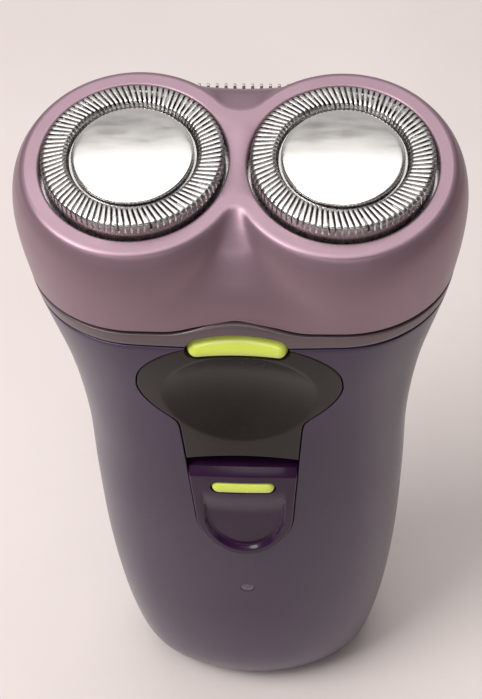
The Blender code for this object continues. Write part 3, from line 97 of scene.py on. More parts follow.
def addRange(tree, factor, low, high, start=0.3, end=0.7):
    between = tree.nodes.new("ShaderNodeMapRange")
    between.inputs["From Min"].default_value = start
    between.inputs["From Max"].default_value = end
    between.inputs["To Min"].default_value = low
    between.inputs["To Max"].default_value = high
    tree.links.new(factor, between.inputs["Value"])
    return between.outputs["Result"]


def addMix(tree, factor, first, second):
    mix = tree.nodes.new("ShaderNodeMix")
    mix.data_type = "RGBA"
    tree.links.new(factor, mix.inputs["Factor"])
    for value, name in ((first, "A"), (second, "B")):
        socket = next(s for s in mix.inputs if s.name == name and s.type == "RGBA")
        if isinstance(value, tuple):
            socket.default_value = (*value, 1)
        else:
            tree.links.new(value, socket)
    return next(s for s in mix.outputs if s.type == "RGBA")


def addBump(tree, shader, height, strength, distance):
    bump = tree.nodes.new("ShaderNodeBump")
    bump.inputs["Strength"].default_value = strength
    bump.inputs["Distance"].default_value = distance
    tree.links.new(height, bump.inputs["Height"])
    tree.links.new(bump.outputs["Normal"], shader.inputs["Normal"])


def setShader(shader, values):
    for name, value in values.items():
        shader.inputs[name].default_value = value


def addTone(tree, place, look, detail):
    drift = addNoise(tree, place, look["drift"], detail)
    return addRamp(tree, drift, ((0.3, look["dark"]), (0.7, look["light"])))


# Plastics and paints share one build: a drift of tone, a fine moulded grain and specks of dust.
def mouldedFinish(name, look, grainDepth=0.00005):
    material, tree, shader, place = newFinish(name)
    tone = addTone(tree, place, look, 4)
    if "speck" in look:
        specks = addNoise(tree, place, look["speckScale"], 1)
        dust = addRange(tree, specks, 0, look["speck"], 0.66, 0.78)  # only the peaks show
        tone = addMix(tree, dust, tone, look["speckTone"])
    tree.links.new(tone, shader.inputs["Base Color"])
    smears = addNoise(tree, place, look["smear"], 5, (1, 1, 0.35))
    tree.links.new(addRange(tree, smears, *look["rough"]), shader.inputs["Roughness"])
    grain = addNoise(tree, place, look["grain"], 2)
    addBump(tree, shader, grain, look["bump"], grainDepth)
    setShader(shader, look["shader"])
    return material


# Metals: fine brushing along one direction and a polish that varies a little.
def metalFinish(name, look, lineDepth=0.00002):
    material, tree, shader, place = newFinish(name)
    tree.links.new(addTone(tree, place, look, 3), shader.inputs["Base Color"])
    lines = addNoise(tree, place, look["lines"], 3, look["along"])
    tree.links.new(addRange(tree, lines, *look["rough"]), shader.inputs["Roughness"])
    addBump(tree, shader, lines, look["bump"], lineDepth)
    shader.inputs["Metallic"].default_value = 1
    return material


mauvePaint = mouldedFinish("mauvePaint", {
    "dark": (0.295, 0.191, 0.236), "light": (0.334, 0.220, 0.268), "drift": 55,
    "speckScale": 2600, "speck": 0.15, "speckTone": (0.44, 0.33, 0.38),
    "smear": 140, "rough": (0.38, 0.45), "grain": 5200, "bump": 0.05,
    "shader": {"Metallic": 0.62, "Coat Weight": 0.12, "Coat Roughness": 0.16},
})
collarPaint = mouldedFinish("collarPaint", {
    "dark": (0.150, 0.110, 0.122), "light": (0.175, 0.130, 0.143), "drift": 60,
    "speckScale": 2600, "speck": 0.15, "speckTone": (0.28, 0.23, 0.25),
    "smear": 150, "rough": (0.28, 0.36), "grain": 5200, "bump": 0.06,
    "shader": {"Metallic": 0.35, "Coat Weight": 0.10, "Coat Roughness": 0.18},
})
violetShell = mouldedFinish("violetShell", {
    "dark": (0.042, 0.024, 0.058), "light": (0.064, 0.038, 0.088), "drift": 22,
    "speckScale": 2200, "speck": 0.15, "speckTone": (0.13, 0.10, 0.16),
    "smear": 70, "rough": (0.26, 0.36), "grain": 4200, "bump": 0.06,
    "shader": {"Metallic": 0.15, "Coat Weight": 0.18, "Coat Roughness": 0.14,
               "Specular IOR Level": 0.43},
})
panelSatin = mouldedFinish("panelSatin", {
    "dark": (0.014, 0.010, 0.009), "light": (0.023, 0.017, 0.015), "drift": 90,
    "speckScale": 2400, "speck": 0.2, "speckTone": (0.09, 0.08, 0.07),
    "smear": 160, "rough": (0.27, 0.35), "grain": 3600, "bump": 0.12,
    "shader": {"Specular IOR Level": 0.34},
})
plumGloss = mouldedFinish("plumGloss", {
    "dark": (0.024, 0.006, 0.029), "light": (0.037, 0.010, 0.043), "drift": 120,
    "speckScale": 2600, "speck": 0.1, "speckTone": (0.11, 0.07, 0.12),
    "smear": 180, "rough": (0.22, 0.30), "grain": 4200, "bump": 0.05,
    "shader": {"Specular IOR Level": 0.14, "Coat Weight": 0.5, "Coat Roughness": 0.12,
               "Coat IOR": 1.35},
})
limeGloss = mouldedFinish("limeGloss", {
    "dark": (0.760, 0.895, 0.105), "light": (0.820, 0.945, 0.140), "drift": 160,
    "smear": 240, "rough": (0.20, 0.28), "grain": 3000, "bump": 0.03,
    "shader": {"Subsurface Weight": 0.25, "Subsurface Radius": (0.0008, 0.001, 0.0002),
               "Subsurface Scale": 1.0, "Coat Weight": 0.9, "Coat Roughness": 0.12},
})
blackMoulding = mouldedFinish("blackMoulding", {
    "dark": (0.014, 0.013, 0.014), "light": (0.024, 0.022, 0.023), "drift": 120,
    "speckScale": 2600, "speck": 0.2, "speckTone": (0.09, 0.09, 0.09),
    "smear": 200, "rough": (0.38, 0.52), "grain": 3200, "bump": 0.25,
    "shader": {"Specular IOR Level": 0.45},
})
whiteNylon = mouldedFinish("whiteNylon", {
    "dark": (0.62, 0.60, 0.55), "light": (0.72, 0.70, 0.65), "drift": 160,
    "smear": 200, "rough": (0.36, 0.5), "grain": 2800, "bump": 0.15,
    "shader": {"Subsurface Weight": 0.1, "Subsurface Radius": (0.001, 0.001, 0.0008)},
})
boardLacquer = mouldedFinish("boardLacquer", {
    "dark": (0.010, 0.085, 0.038), "light": (0.016, 0.125, 0.055), "drift": 300,
    "smear": 300, "rough": (0.25, 0.4), "grain": 2400, "bump": 0.2,
    "shader": {"Coat Weight": 0.3},
})
cellSleeve = mouldedFinish("cellSleeve", {
    "dark": (0.060, 0.160, 0.080), "light": (0.085, 0.210, 0.105), "drift": 90,
    "smear": 120, "rough": (0.22, 0.36), "grain": 2600, "bump": 0.08,
    "shader": {"Coat Weight": 0.2},
})
lightLens = mouldedFinish("lightLens", {
    "dark": (0.135, 0.095, 0.150), "light": (0.175, 0.130, 0.190), "drift": 500,
    "smear": 400, "rough": (0.18, 0.28), "grain": 3000, "bump": 0.05,
    "shader": {"Transmission Weight": 0.25, "IOR": 1.49},
})
guardSteel = metalFinish("guardSteel", {
    "dark": (0.50, 0.485, 0.475), "light": (0.60, 0.58, 0.57), "drift": 260,
    "lines": 1800, "along": (1, 1, 0.3), "rough": (0.22, 0.34), "bump": 0.05,
})
capSteel = metalFinish("capSteel", {
    "dark": (0.70, 0.68, 0.66), "light": (0.76, 0.74, 0.72), "drift": 120,
    "lines": 900, "along": (0.25, 1, 1), "rough": (0.16, 0.23), "bump": 0.03,
})
toothSteel = metalFinish("toothSteel", {
    "dark": (0.60, 0.58, 0.56), "light": (0.70, 0.68, 0.66), "drift": 300,
    "lines": 1600, "along": (1, 1, 0.12), "rough": (0.34, 0.48), "bump": 0.08,
})
motorPlate = metalFinish("motorPlate", {
    "dark": (0.42, 0.42, 0.42), "light": (0.52, 0.52, 0.51), "drift": 160,
    "lines": 1200, "along": (1, 1, 0.1), "rough": (0.3, 0.42), "bump": 0.06,
})
brassPin = metalFinish("brassPin", {
    "dark": (0.56, 0.38, 0.14), "light": (0.66, 0.46, 0.18), "drift": 300,
    "lines": 1600, "along": (1, 1, 0.15), "rough": (0.2, 0.32), "bump": 0.05,
})

innerFinishes = {
    toothSteel: ("trimmer_pin", "cutter_left", "cutter_right", "spindle_left", "spindle_right",
                 "motor_shaft", "gear_axle_left", "gear_axle_right", "motor_screw_front",
                 "motor_screw_rear"),
    blackMoulding: ("cutter_carrier_left", "cutter_carrier_right", "switch_block", "motor_cap"),
    whiteNylon: ("drive_gear_left", "drive_gear_right", "gear_plate"),
    brassPin: ("pinion", "inlet_pin_left", "inlet_pin_right"),
    motorPlate: ("motor_can",),
    boardLacquer: ("circuit_board",),
    cellSleeve: ("battery_cell_left", "battery_cell_right"),
    lightLens: ("charge_lamp",),
}
for finish, names in innerFinishes.items():
    for name in names:
        nodes[name].data.materials.clear()
        nodes[name].data.materials.append(finish)
print("finishes made")


# Making and settling pieces

def linkPiece(name, bm):
    mesh = bpy.data.meshes.new(name)
    bm.to_mesh(mesh)
    bm.free()
    piece = bpy.data.objects.new(name, mesh)
    collection.objects.link(piece)
    return piece


def newPiece(name, bm):
    bmesh.ops.recalc_face_normals(bm, faces=bm.faces)
    return linkPiece(name, bm)


def applyModifiers(piece):
    bpy.context.view_layer.update()
    graph = bpy.context.evaluated_depsgraph_get()
    made = bpy.data.meshes.new_from_object(piece.evaluated_get(graph))
    piece.modifiers.clear()
    piece.data = made


def carve(piece, tool, operation="DIFFERENCE"):
    modifier = piece.modifiers.new("carve", "BOOLEAN")
    modifier.operation = operation
    modifier.solver = "EXACT"
    modifier.object = tool
    applyModifiers(piece)
    bpy.data.objects.remove(tool)


# Slivers that cutting leaves are closed up.
def tidyMesh(mesh, least=0.001):
    bm = bmesh.new()
    bm.from_mesh(mesh)
    bmesh.ops.remove_doubles(bm, verts=bm.verts, dist=least)
    bmesh.ops.dissolve_degenerate(bm, dist=least, edges=bm.edges)
    bmesh.ops.triangulate(bm, faces=[face for face in bm.faces if len(face.verts) > 4])
    bmesh.ops.dissolve_degenerate(bm, dist=least, edges=bm.edges)
    bm.to_mesh(mesh)
    bm.free()


def settle(piece, body, replaced, finish, angle=32):
    mesh = piece.data
    tidyMesh(mesh)
    mesh.transform(Matrix.Scale(millimetre, 4))
    mesh.materials.clear()
    mesh.materials.append(finish)
    mesh.shade_smooth()
    mesh.set_sharp_from_angle(angle=math.radians(angle))
    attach(piece, body)
    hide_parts(*replaced)


# A ring starts as a circle and its vertices are pulled onto the section's points.
def addRing(bm, points):
    verts = bmesh.ops.create_circle(bm, segments=len(points), radius=1)["verts"]
    for vert, point in zip(verts, points):
        vert.co = point
    return list({edge for vert in verts for edge in vert.link_edges})


def loftRings(rings, capped=True):
    bm = bmesh.new()
    loops = [addRing(bm, points) for points in rings]
    for lower, upper in zip(loops, loops[1:]):
        bmesh.ops.bridge_loops(bm, edges=lower + upper)
    if capped:
        bmesh.ops.holes_fill(bm, edges=loops[0] + loops[-1])
    else:
        bmesh.ops.bridge_loops(bm, edges=loops[-1] + loops[0])
    return bm


def boxTool(low, high):
    bm = bmesh.new()
    bmesh.ops.create_cube(bm, size=1)
    low, high = Vector(low), Vector(high)
    bmesh.ops.scale(bm, verts=bm.verts, vec=high - low)
    bmesh.ops.translate(bm, verts=bm.verts, vec=(low + high) / 2)
    return newPiece("tool", bm)


# A profile of (radius, height) turned about Z.
def turnProfile(profile, steps, matrix):
    bm = bmesh.new()
    verts = [bm.verts.new((radius, 0, height)) for radius, height in profile]
    edges = [bm.edges.new(pair) for pair in zip(verts, verts[1:])]
    bmesh.ops.spin(bm, geom=verts + edges, axis=(0, 0, 1), angle=math.tau, steps=steps,
                   use_merge=True)
    bmesh.ops.remove_doubles(bm, verts=bm.verts, dist=0.0005)
    bmesh.ops.transform(bm, matrix=matrix, verts=bm.verts)
    return bm


# Sections of the body and the casing

handle = {
    "height": 94.2,
    "wall": 1.8,
    "floor": 2.2,
    "seam": 0.15,
    "perQuarter": 40,
    "rows": (  # height, half width, end radius, front, rear
        (0.0, 16.8, 8.4, 10.7, 9.4),
        (2.0, 18.8, 10.5, 12.6, 11.3),
        (5.0, 20.3, 12.0, 14.2, 13.0),
        (10.0, 21.6, 13.2, 15.6, 14.7),
        (20.0, 23.1, 14.0, 16.4, 16.0),
        (35.0, 24.2, 14.3, 16.5, 16.5),
        (52.0, 24.5, 14.3, 16.5, 16.5),
        (66.2, 24.5, 14.3, 16.3, 16.5),
        (80.0, 25.9, 14.6, 16.0, 16.5),
        (94.2, 29.0, 15.8, 16.2, 16.5),
        (97.3, 29.5, 15.9, 16.0, 16.2),
    ),
}


def smoothValue(rows, column, at):
    heights = [row[0] for row in rows]
    at = min(max(at, heights[0]), heights[-1])
    upper = next(i for i in range(1, len(heights)) if at <= heights[i])
    lower = upper - 1

    def slope(i):
        before, after = max(i - 1, 0), min(i + 1, len(heights) - 1)
        return (rows[after][column] - rows[before][column]) / (heights[after] - heights[before])

    span = heights[upper] - heights[lower]
    t = (at - heights[lower]) / span
    return (
        rows[lower][column] * (1 + 2 * t) * (1 - t) ** 2
        + slope(lower) * span * t * (1 - t) ** 2
        + rows[upper][column] * t * t * (3 - 2 * t)
        + slope(upper) * span * t * t * (t - 1)
    )


# The arc across one side: its radius, its centre and where it meets the round end.
def sideArc(spread, end, depth):
    if abs(depth - end) < 0.001:
        depth = end + 0.001
    radius = (depth**2 - end**2 + spread**2) / (2 * (depth - end))
    centre = radius - depth
    lean = radius - end
    return radius, centre, math.atan2(centre / lean, spread / lean)


def sectionPoints(spread, end, front, rear, count):
    def quarter(depth):
        radius, centre, angle = sideArc(spread, end, depth)
        bow = abs(radius)
        side = bow * math.asin((spread + end * math.cos(angle)) / bow)
        points = []
        for i in range(count):
            along = (side + end * angle) * i / count
            if along < side:
                a = along / bow
                out = math.copysign(bow * math.cos(a), radius) - centre
                points.append((bow * math.sin(a), out))
            else:
                a = angle - (along - side) / end
                points.append((spread + end * math.cos(a), end * math.sin(a)))
        return points

    ahead, behind, tip = quarter(front), quarter(rear), spread + end
    right = [(x, -y) for x, y in ahead] + [(tip, 0)] + behind[:0:-1]
    left = [(-x, y) for x, y in behind] + [(-tip, 0)] + [(-x, -y) for x, y in ahead[:0:-1]]
    return right + left


def rowAt(rows, height):
    return (smoothValue(rows, column, height) for column in (1, 2, 3, 4))


def handleRing(height, inset=0.0, count=handle["perQuarter"]):
    width, end, front, rear = rowAt(handle["rows"], height)
    flat = sectionPoints(width - end, end - inset, front - inset, rear - inset, count)
    return [Vector((x, y, height)) for x, y in flat]


# Where the body's surface lies; side is -1 for its front and 1 for its rear.
def sideY(x, height, side=-1):
    width, end, front, rear = rowAt(handle["rows"], height)
    radius, centre, angle = sideArc(width - end, end, front if side < 0 else rear)
    if abs(x) < width - end + end * math.cos(angle):
        return side * (math.copysign(math.sqrt(radius**2 - x * x), radius) - centre)
    return side * math.sqrt(max(end**2 - (abs(x) - width + end) ** 2, 0))


# Quarter-round steps for an edge of a given radius, as (inset, drop).
def edgeSteps(radius, steps=4):
    turns = [math.pi / 2 * i / steps for i in range(steps + 1)]
    return [(radius * (1 - math.sin(a)), radius * (1 - math.cos(a))) for a in turns]


keyhole = {
    "ovalMiddle": 85.6, "ovalWidth": 14.2, "ovalHeight": 9.8,
    "neckWidth": 8.6, "neckBlend": 1.5,
    "footWidth": 7.4, "footRound": 9.8, "foot": 46.2, "footReach": 12,
    "edge": 0.14, "clear": 0.12, "flare": 0.9, "pocketFloor": -12.6,
}


def keyholeWidth(height):
    k = keyhole
    roundMiddle = k["foot"] + k["footRound"]
    if height < roundMiddle:
        fall = (roundMiddle - height) / k["footRound"]
        return k["footWidth"] * math.sqrt(max(1 - fall**2, 0))
    rise = (height - k["ovalMiddle"]) / k["ovalHeight"]
    oval = k["ovalWidth"] * math.sqrt(max(1 - rise**2, 0))
    if height > k["ovalMiddle"]:
        return oval
    climb = min((height - roundMiddle) / (k["ovalMiddle"] - k["ovalHeight"] - roundMiddle), 1)
    neck = k["footWidth"] + (k["neckWidth"] - k["footWidth"]) * climb
    return (oval + neck + math.sqrt((oval - neck) ** 2 + (k["neckBlend"] * climb) ** 2)) / 2


def keyholeSlope(height, step):
    below = keyholeWidth(max(height - step, keyhole["foot"]))
    return (keyholeWidth(height + step) - below) / (2 * step)


def keyholePoints(grow, count=90):
    low, high = keyhole["foot"], handle["height"] + keyhole["flare"]
    shares = [(1 - math.cos(math.pi * i / count)) / 2 for i in range(count + 1)]
    right = []
    for share in shares:
        z = low + (high - low) * share
        slope = keyholeSlope(z, 0.01)
        lean = math.hypot(1, slope)
        drop = grow * slope / lean if z < low + keyhole["footReach"] else 0
        right.append((keyholeWidth(z) + grow / lean, z - drop))
    right[0] = (0.0, low - grow)
    return right + [(-x, z) for x, z in reversed(right[1:])]


# A cutter for the keyhole whose mouth is rounded and follows the body's front.
def keyholeTool():
    clear = keyhole["clear"]
    mouth = keyholePoints(clear + keyhole["edge"] + keyhole["flare"])
    rings = [[Vector((x, outside["front"], z)) for x, z in mouth]]
    for inset, drop in edgeSteps(keyhole["edge"])[1:]:
        outline = keyholePoints(clear + inset)
        rings.append([Vector((x, sideY(x, z) + drop, z)) for x, z in outline])
    rings.append([Vector((x, keyhole["pocketFloor"], z)) for x, z in keyholePoints(clear)])
    return newPiece("tool", loftRings(rings))


# Sausage outlines for the button and the bar.
def capsulePoints(shape, grow=0.0, share=1.0, steps=14):
    width, height = shape["width"] + grow, shape["height"] + grow
    straight = width - height
    height *= share
    points = []
    for side in (1, -1):
        for i in range(steps + 1):
            a = side * math.pi / 2 - math.pi * i / steps
            points.append((side * straight + height * math.cos(a), height * math.sin(a)))
        points += [(side * straight * (1 - 2 * i / steps), -side * height) for i in range(1, steps)]
    tall = shape["height"] + grow
    arched = []
    for x, z in points:
        rise = shape["arch"] + shape["crown"] * (1 + z / tall) / 2
        arched.append((x, shape["middle"] + z + rise * (1 - (x / width) ** 2)))
    return arched


button = {
    "width": 6.9, "height": 1.5, "middle": 93.7, "arch": 0.45, "crown": 1.1,
    "proud": 0.95, "sunk": 0.6, "lean": 0.5, "back": -13.0,
    "clear": 0.14, "chamfer": 0.12, "chamferDrop": (0.05, 0.3), "hollow": -11.2,
}


# A cutter for the button's opening, with a small chamfer at its mouth.
def buttonTool():
    inner = capsulePoints(button, button["clear"])
    outer = capsulePoints(button, button["clear"] + button["chamfer"])
    start, end = button["chamferDrop"]
    rings = [[Vector((x, outside["front"], z)) for x, z in outer]]
    rings.append([Vector((x, sideY(x, z) + start, z)) for x, z in outer])
    rings.append([Vector((x, sideY(x, z) + end, z)) for x, z in inner])
    rings.append([Vector((x, button["hollow"], z)) for x, z in inner])
    return newPiece("tool", loftRings(rings))


# The trimmer's pocket in the rear, and the wall kept behind it.
pocket = {"half": 14.3, "front": 14.0, "base": 87.0, "wall": 1.2, "sideWall": 2.4}


def pocketTool(wall=0.0, sideWall=0.0):
    half = pocket["half"] + sideWall
    low = (-half, pocket["front"] - wall, pocket["base"] - wall)
    return boxTool(low, (half, outside["rear"], outside["high"]))


def backingTool():
    return pocketTool(pocket["wall"], pocket["sideWall"])


# Handle shells

shells = {
    "edge": 0.22, "foot": 0.7, "tongue": 0.8, "tongueDepth": 0.6, "tongueGap": 0.03,
    "heights": (1.12, 1.6, 2.2, 3, 4, 5, 6.5, 8, 10, 12.5, 15, 18, *range(21, 93, 3), 93.2),
    "cavityHeights": (3, 4, 6, 8, 11, 15, 20, *range(26, 94, 6)), "cavityPoints": 20,
    "tongueHeights": (0.9, 3, 5, 8, 12, *range(18, 93, 6), 93.6),
    "padHeights": (*range(40, 94, 3), 93.6), "padPoints": 30,
    "padHalf": 16.5, "padLow": 43.7, "padBack": -11.4, "padInset": 0.6,
    "lampHole": 1.16, "lampHeight": 36.0, "lampBack": -8, "inlet": (12.0, 7.0), "inletDepth": 5,
    "screws": ((13.2, 7.4), (16.0, 78.0)), "screwHole": 2.3, "screwSink": 1.8,
}


def handleBlank(name):
    top = handle["height"]
    rings = [handleRing(drop, inset) for inset, drop in edgeSteps(shells["foot"], 5)]
    rings += [handleRing(z) for z in shells["heights"]]
    rings += [handleRing(top - drop, inset) for inset, drop in edgeSteps(shells["edge"])[::-1]]
    return newPiece(name, loftRings(rings))


def handleCavity():
    heights = (handle["floor"], *shells["cavityHeights"], handle["height"] + 1)  # open at the top
    rings = [handleRing(z, handle["wall"], shells["cavityPoints"]) for z in heights]
    return newPiece("tool", loftRings(rings))


# A slab right across the body between two depths.
def slabTool(front, rear):
    low = (-outside["side"], front, outside["low"])
    return boxTool(low, (outside["side"], rear, outside["high"]))


def inletTool():
    x, y = (size / 2 for size in shells["inlet"])
    return boxTool((-x, -y, -shells["inletDepth"]), (x, y, shells["inletDepth"]))


def rodTool(radius, start, end, steps=40):
    along = Vector(end) - Vector(start)
    bm = bmesh.new()
    place = along.to_track_quat("Z", "Y").to_matrix().to_4x4()
    place.translation = Vector(start) + along / 2
    bmesh.ops.create_cone(bm, cap_ends=True, segments=steps, radius1=radius, radius2=radius,
                          depth=along.length, matrix=place)
    return newPiece("tool", bm)


frontShell = handleBlank("frontShell")
carve(frontShell, slabTool(-handle["seam"], outside["rear"]))
carve(frontShell, handleCavity())

# Solid backing behind the keyhole, kept inside the shell's skin.
padHalf, padPoints = shells["padHalf"], shells["padPoints"]
padBlock = boxTool((-padHalf, outside["front"], shells["padLow"]),
                   (padHalf, shells["padBack"], handle["height"]))
padRings = [handleRing(z, shells["padInset"], padPoints) for z in shells["padHeights"]]
carve(padBlock, newPiece("tool", loftRings(padRings)), "INTERSECT")
carve(frontShell, padBlock, "UNION")
carve(frontShell, keyholeTool())
carve(frontShell, buttonTool())
lampStart = (0, outside["front"], shells["lampHeight"])
lampEnd = (0, shells["lampBack"], shells["lampHeight"])
carve(frontShell, rodTool(shells["lampHole"], lampStart, lampEnd))
carve(frontShell, inletTool())
settle(frontShell, "handle", ["front_shell"], violetShell)

rearShell = handleBlank("rearShell")
carve(rearShell, slabTool(-outside["rear"], handle["seam"]))
rearCavity = handleCavity()
carve(rearCavity, backingTool())
carve(rearShell, rearCavity)

# A tongue inside the seam closes the view into the shell.
tongueRings = [handleRing(z, shells["tongue"]) for z in shells["tongueHeights"]]
tongue = newPiece("tool", loftRings(tongueRings))
tongueFront = shells["tongueGap"] - handle["seam"]
carve(tongue, slabTool(tongueFront, shells["tongueDepth"]), "INTERSECT")
carve(tongue, handleCavity())
carve(rearShell, tongue, "UNION")
carve(rearShell, pocketTool())
for x, z in shells["screws"]:
    for side in (-1, 1):
        depth = sideY(side * x, z, 1) - shells["screwSink"]
        hole = rodTool(shells["screwHole"], (side * x, depth, z), (side * x, outside["rear"], z))
        carve(rearShell, hole)
carve(rearShell, inletTool())
settle(rearShell, "handle", ["rear_shell"], violetShell)
print("shells made")


# Thumb panel, switch, bar and button

panel = {
    "low": 69.0, "arch": 1.75, "edge": 0.3, "across": 180, "up": 170,
    "dishMiddle": 83.6, "dishSize": (10.9, 9.2), "dishDepth": 2.5, "dishBowl": 2.0, "dishEdge": 0.1,
}
switch = {
    "top": 66.7, "arch": 0.95, "proud": 0.4, "edge": 0.22, "back": -13.0, "lift": 0.02,
    "brow": 1.3, "browFall": 0.95, "browBend": 1.06, "across": 90, "up": 150,
    "rim": 1.15, "rimFall": 0.65, "scoop": 0.85, "scoopTop": 62.6, "scoopFade": 6.5,
}


def edgeFall(distance, radius):
    if distance >= radius:
        return 0.0
    return radius - math.sqrt(max(radius**2 - (radius - distance) ** 2, 0))


def smoothStep(t):
    t = min(max(t, 0), 1)
    return t * t * (3 - 2 * t)


def dishY(x, z):
    wide, high = panel["dishSize"]
    out = math.hypot(x / wide, (z - panel["dishMiddle"]) / high)
    step = panel["dishDepth"] * (1 - out ** panel["dishBowl"])
    return sideY(x, z) + (step + math.sqrt(step**2 + panel["dishEdge"] ** 2)) / 2


# Depths of the panel and the switch. Both are given the room to the side, below and above.
def panelY(x, z, sideRoom, lowRoom, topRoom):
    fall = edgeFall(sideRoom, panel["edge"]) + edgeFall(lowRoom, panel["edge"])
    return dishY(x, z) + fall


# How far a point lies from the rounded foot and sides of the keyhole.
def footRoom(x, z):
    under = max(keyhole["foot"] + keyhole["footRound"] - z, 0)
    share = math.hypot(x / keyholeWidth(z + under), under / keyhole["footRound"])
    return (1 - share) * math.hypot(x, under) / share if share > 0.01 else keyhole["footWidth"]


def switchY(x, z, sideRoom, lowRoom, topRoom):
    fall = edgeFall(sideRoom, switch["edge"])
    brow = max(1 - topRoom / switch["brow"], 0)
    fall += switch["browFall"] * brow ** switch["browBend"]
    room = footRoom(x, z)
    scoop = smoothStep((room - switch["rim"]) / switch["rimFall"])
    scoop *= smoothStep((switch["scoopTop"] - z) / switch["scoopFade"])
    return sideY(x, z) - switch["proud"] + fall + switch["scoop"] * scoop


# A grid pulled onto the keyhole between two edges; its rim is then drawn back and closed.
def padPiece(name, shape, lowEdge, highEdge, back, depthAt):
    bm = bmesh.new()
    bmesh.ops.create_grid(bm, x_segments=shape["across"], y_segments=shape["up"], size=1)
    for vert in bm.verts:
        u = math.sin(math.pi / 2 * vert.co.x)
        v = (1 + math.sin(math.pi / 2 * vert.co.y)) / 2
        low, high = lowEdge(u), highEdge(u)
        z = low + (high - low) * v
        width = keyholeWidth(z)
        sideRoom = (1 - abs(u)) * width / math.hypot(1, keyholeSlope(z, 0.02))
        vert.co = (u * width, depthAt(u * width, z, sideRoom, z - low, high - z), z)
    bmesh.ops.remove_doubles(bm, verts=bm.verts, dist=0.002)
    rim = [edge for edge in bm.edges if edge.is_boundary]
    drawn = bmesh.ops.extrude_edge_only(bm, edges=rim)["geom"]
    for vert in (item for item in drawn if isinstance(item, bmesh.types.BMVert)):
        vert.co.y = back
    drawnEdges = [item for item in drawn if isinstance(item, bmesh.types.BMEdge)]
    bmesh.ops.holes_fill(bm, edges=[edge for edge in drawnEdges if edge.is_boundary])
    return newPiece(name, bm)


thumbPanel = padPiece(
    "thumbPanel", panel,
    lambda u: panel["low"] + panel["arch"] * (1 - u * u), lambda u: handle["height"],
    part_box("thumb_panel")[1].y * perMetre, panelY,
)
carve(thumbPanel, buttonTool())
settle(thumbPanel, "handle", ["thumb_panel"], panelSatin, angle=40)

switchSlider = padPiece(
    "switchSlider", switch,
    lambda u: keyhole["foot"] + switch["lift"],
    lambda u: switch["top"] + switch["arch"] * (1 - u * u),
    switch["back"], switchY,
)
bar = {
    "width": 4.7, "height": 1.1, "middle": 63.4, "arch": 0.2, "crown": 0,
    "proud": 0.5, "sunk": 0.25, "lean": 0.2, "back": -15.75, "clear": 0.2, "seat": -15.6,
}
seatOutline = capsulePoints(bar, bar["clear"])
seatRings = [[Vector((x, y, z)) for x, z in seatOutline] for y in (outside["front"], bar["seat"])]
carve(switchSlider, newPiece("tool", loftRings(seatRings)))
settle(switchSlider, "switch", ["switch_slider"], plumGloss, angle=40)


# A glossy pillow: capsule rings that close in while they rise, its upper edge leaning back.
def pillowPiece(name, shape, front, steps=12, tip=0.03):
    sunk, depth = shape["sunk"], shape["proud"] + shape["sunk"]
    rings = [[Vector((x, shape["back"], z)) for x, z in capsulePoints(shape)]]
    for i in range(steps + 1):
        share = max(math.cos(math.pi / 2 * i / steps), tip)
        rise = math.sqrt(1 - share**2)
        ring = []
        for x, z in capsulePoints(shape, 0, share):
            leaned = shape["lean"] * (z - shape["middle"] + shape["height"])
            ring.append(Vector((x, front(x, z) + sunk - depth * rise + leaned, z)))
        rings.append(ring)
    return newPiece(name, loftRings(rings))


releaseButton = pillowPiece(
    "releaseButton", button, lambda x, z: sideY(x, min(z, handle["height"])))
settle(releaseButton, "button", ["release_button"], limeGloss, angle=50)
switchBar = pillowPiece("switchBar", bar, lambda x, z: sideY(x, z) - switch["proud"])
settle(switchBar, "switch", ["switch_bar"], limeGloss, angle=50)
print("panel, switch and button made")


# Collar

collar = {
    "base": 94.5, "top": 96.65, "archRise": 2.5, "archReach": 10.0, "band": 1.5, "coreReach": 12,
    "lowEdge": 0.25, "archEdge": (1.2, 2.0), "sideEdge": 0.12, "faceShares": (0.15, 0.3),
}


def archRise(x, y):
    if y > 0 or abs(x) > collar["archReach"]:
        return 0.0
    return collar["archRise"] * (1 + math.cos(math.pi * x / collar["archReach"])) / 2


# The collar's upper edge rolls back on the arch and is tight beside it.
def collarRing(share, inset, shift=0.0, edge=(0, 0)):
    level = collar["base"] + (collar["top"] - collar["base"]) * share
    ring, inner = handleRing(level, inset), handleRing(level, inset + 1)
    for point, inward in zip(ring, inner):
        arch = archRise(point.x, point.y)
        onArch = arch / collar["archRise"]
        eased = collar["sideEdge"] + (1 - collar["sideEdge"]) * onArch
        point.xy = point.xy.lerp(inward.xy, edge[0] * collar["archEdge"][0] * eased)
        point.z += arch * share + shift - edge[1] * collar["archEdge"][1] * eased
    return ring


collarRings = [collarRing(0, collar["band"])]
collarRings += [collarRing(0, inset, drop) for inset, drop in edgeSteps(collar["lowEdge"])]
collarRings += [collarRing(share, 0) for share in collar["faceShares"]]
collarRings += [collarRing(1, 0, 0, step) for step in edgeSteps(1, 8)[::-1]]
collarRings.append(collarRing(1, collar["band"]))
collarBand = newPiece("collarBand", loftRings(collarRings, capped=False))
carve(collarBand, buttonTool())
carve(collarBand, pocketTool())
settle(collarBand, "handle", ["collar"], collarPaint)


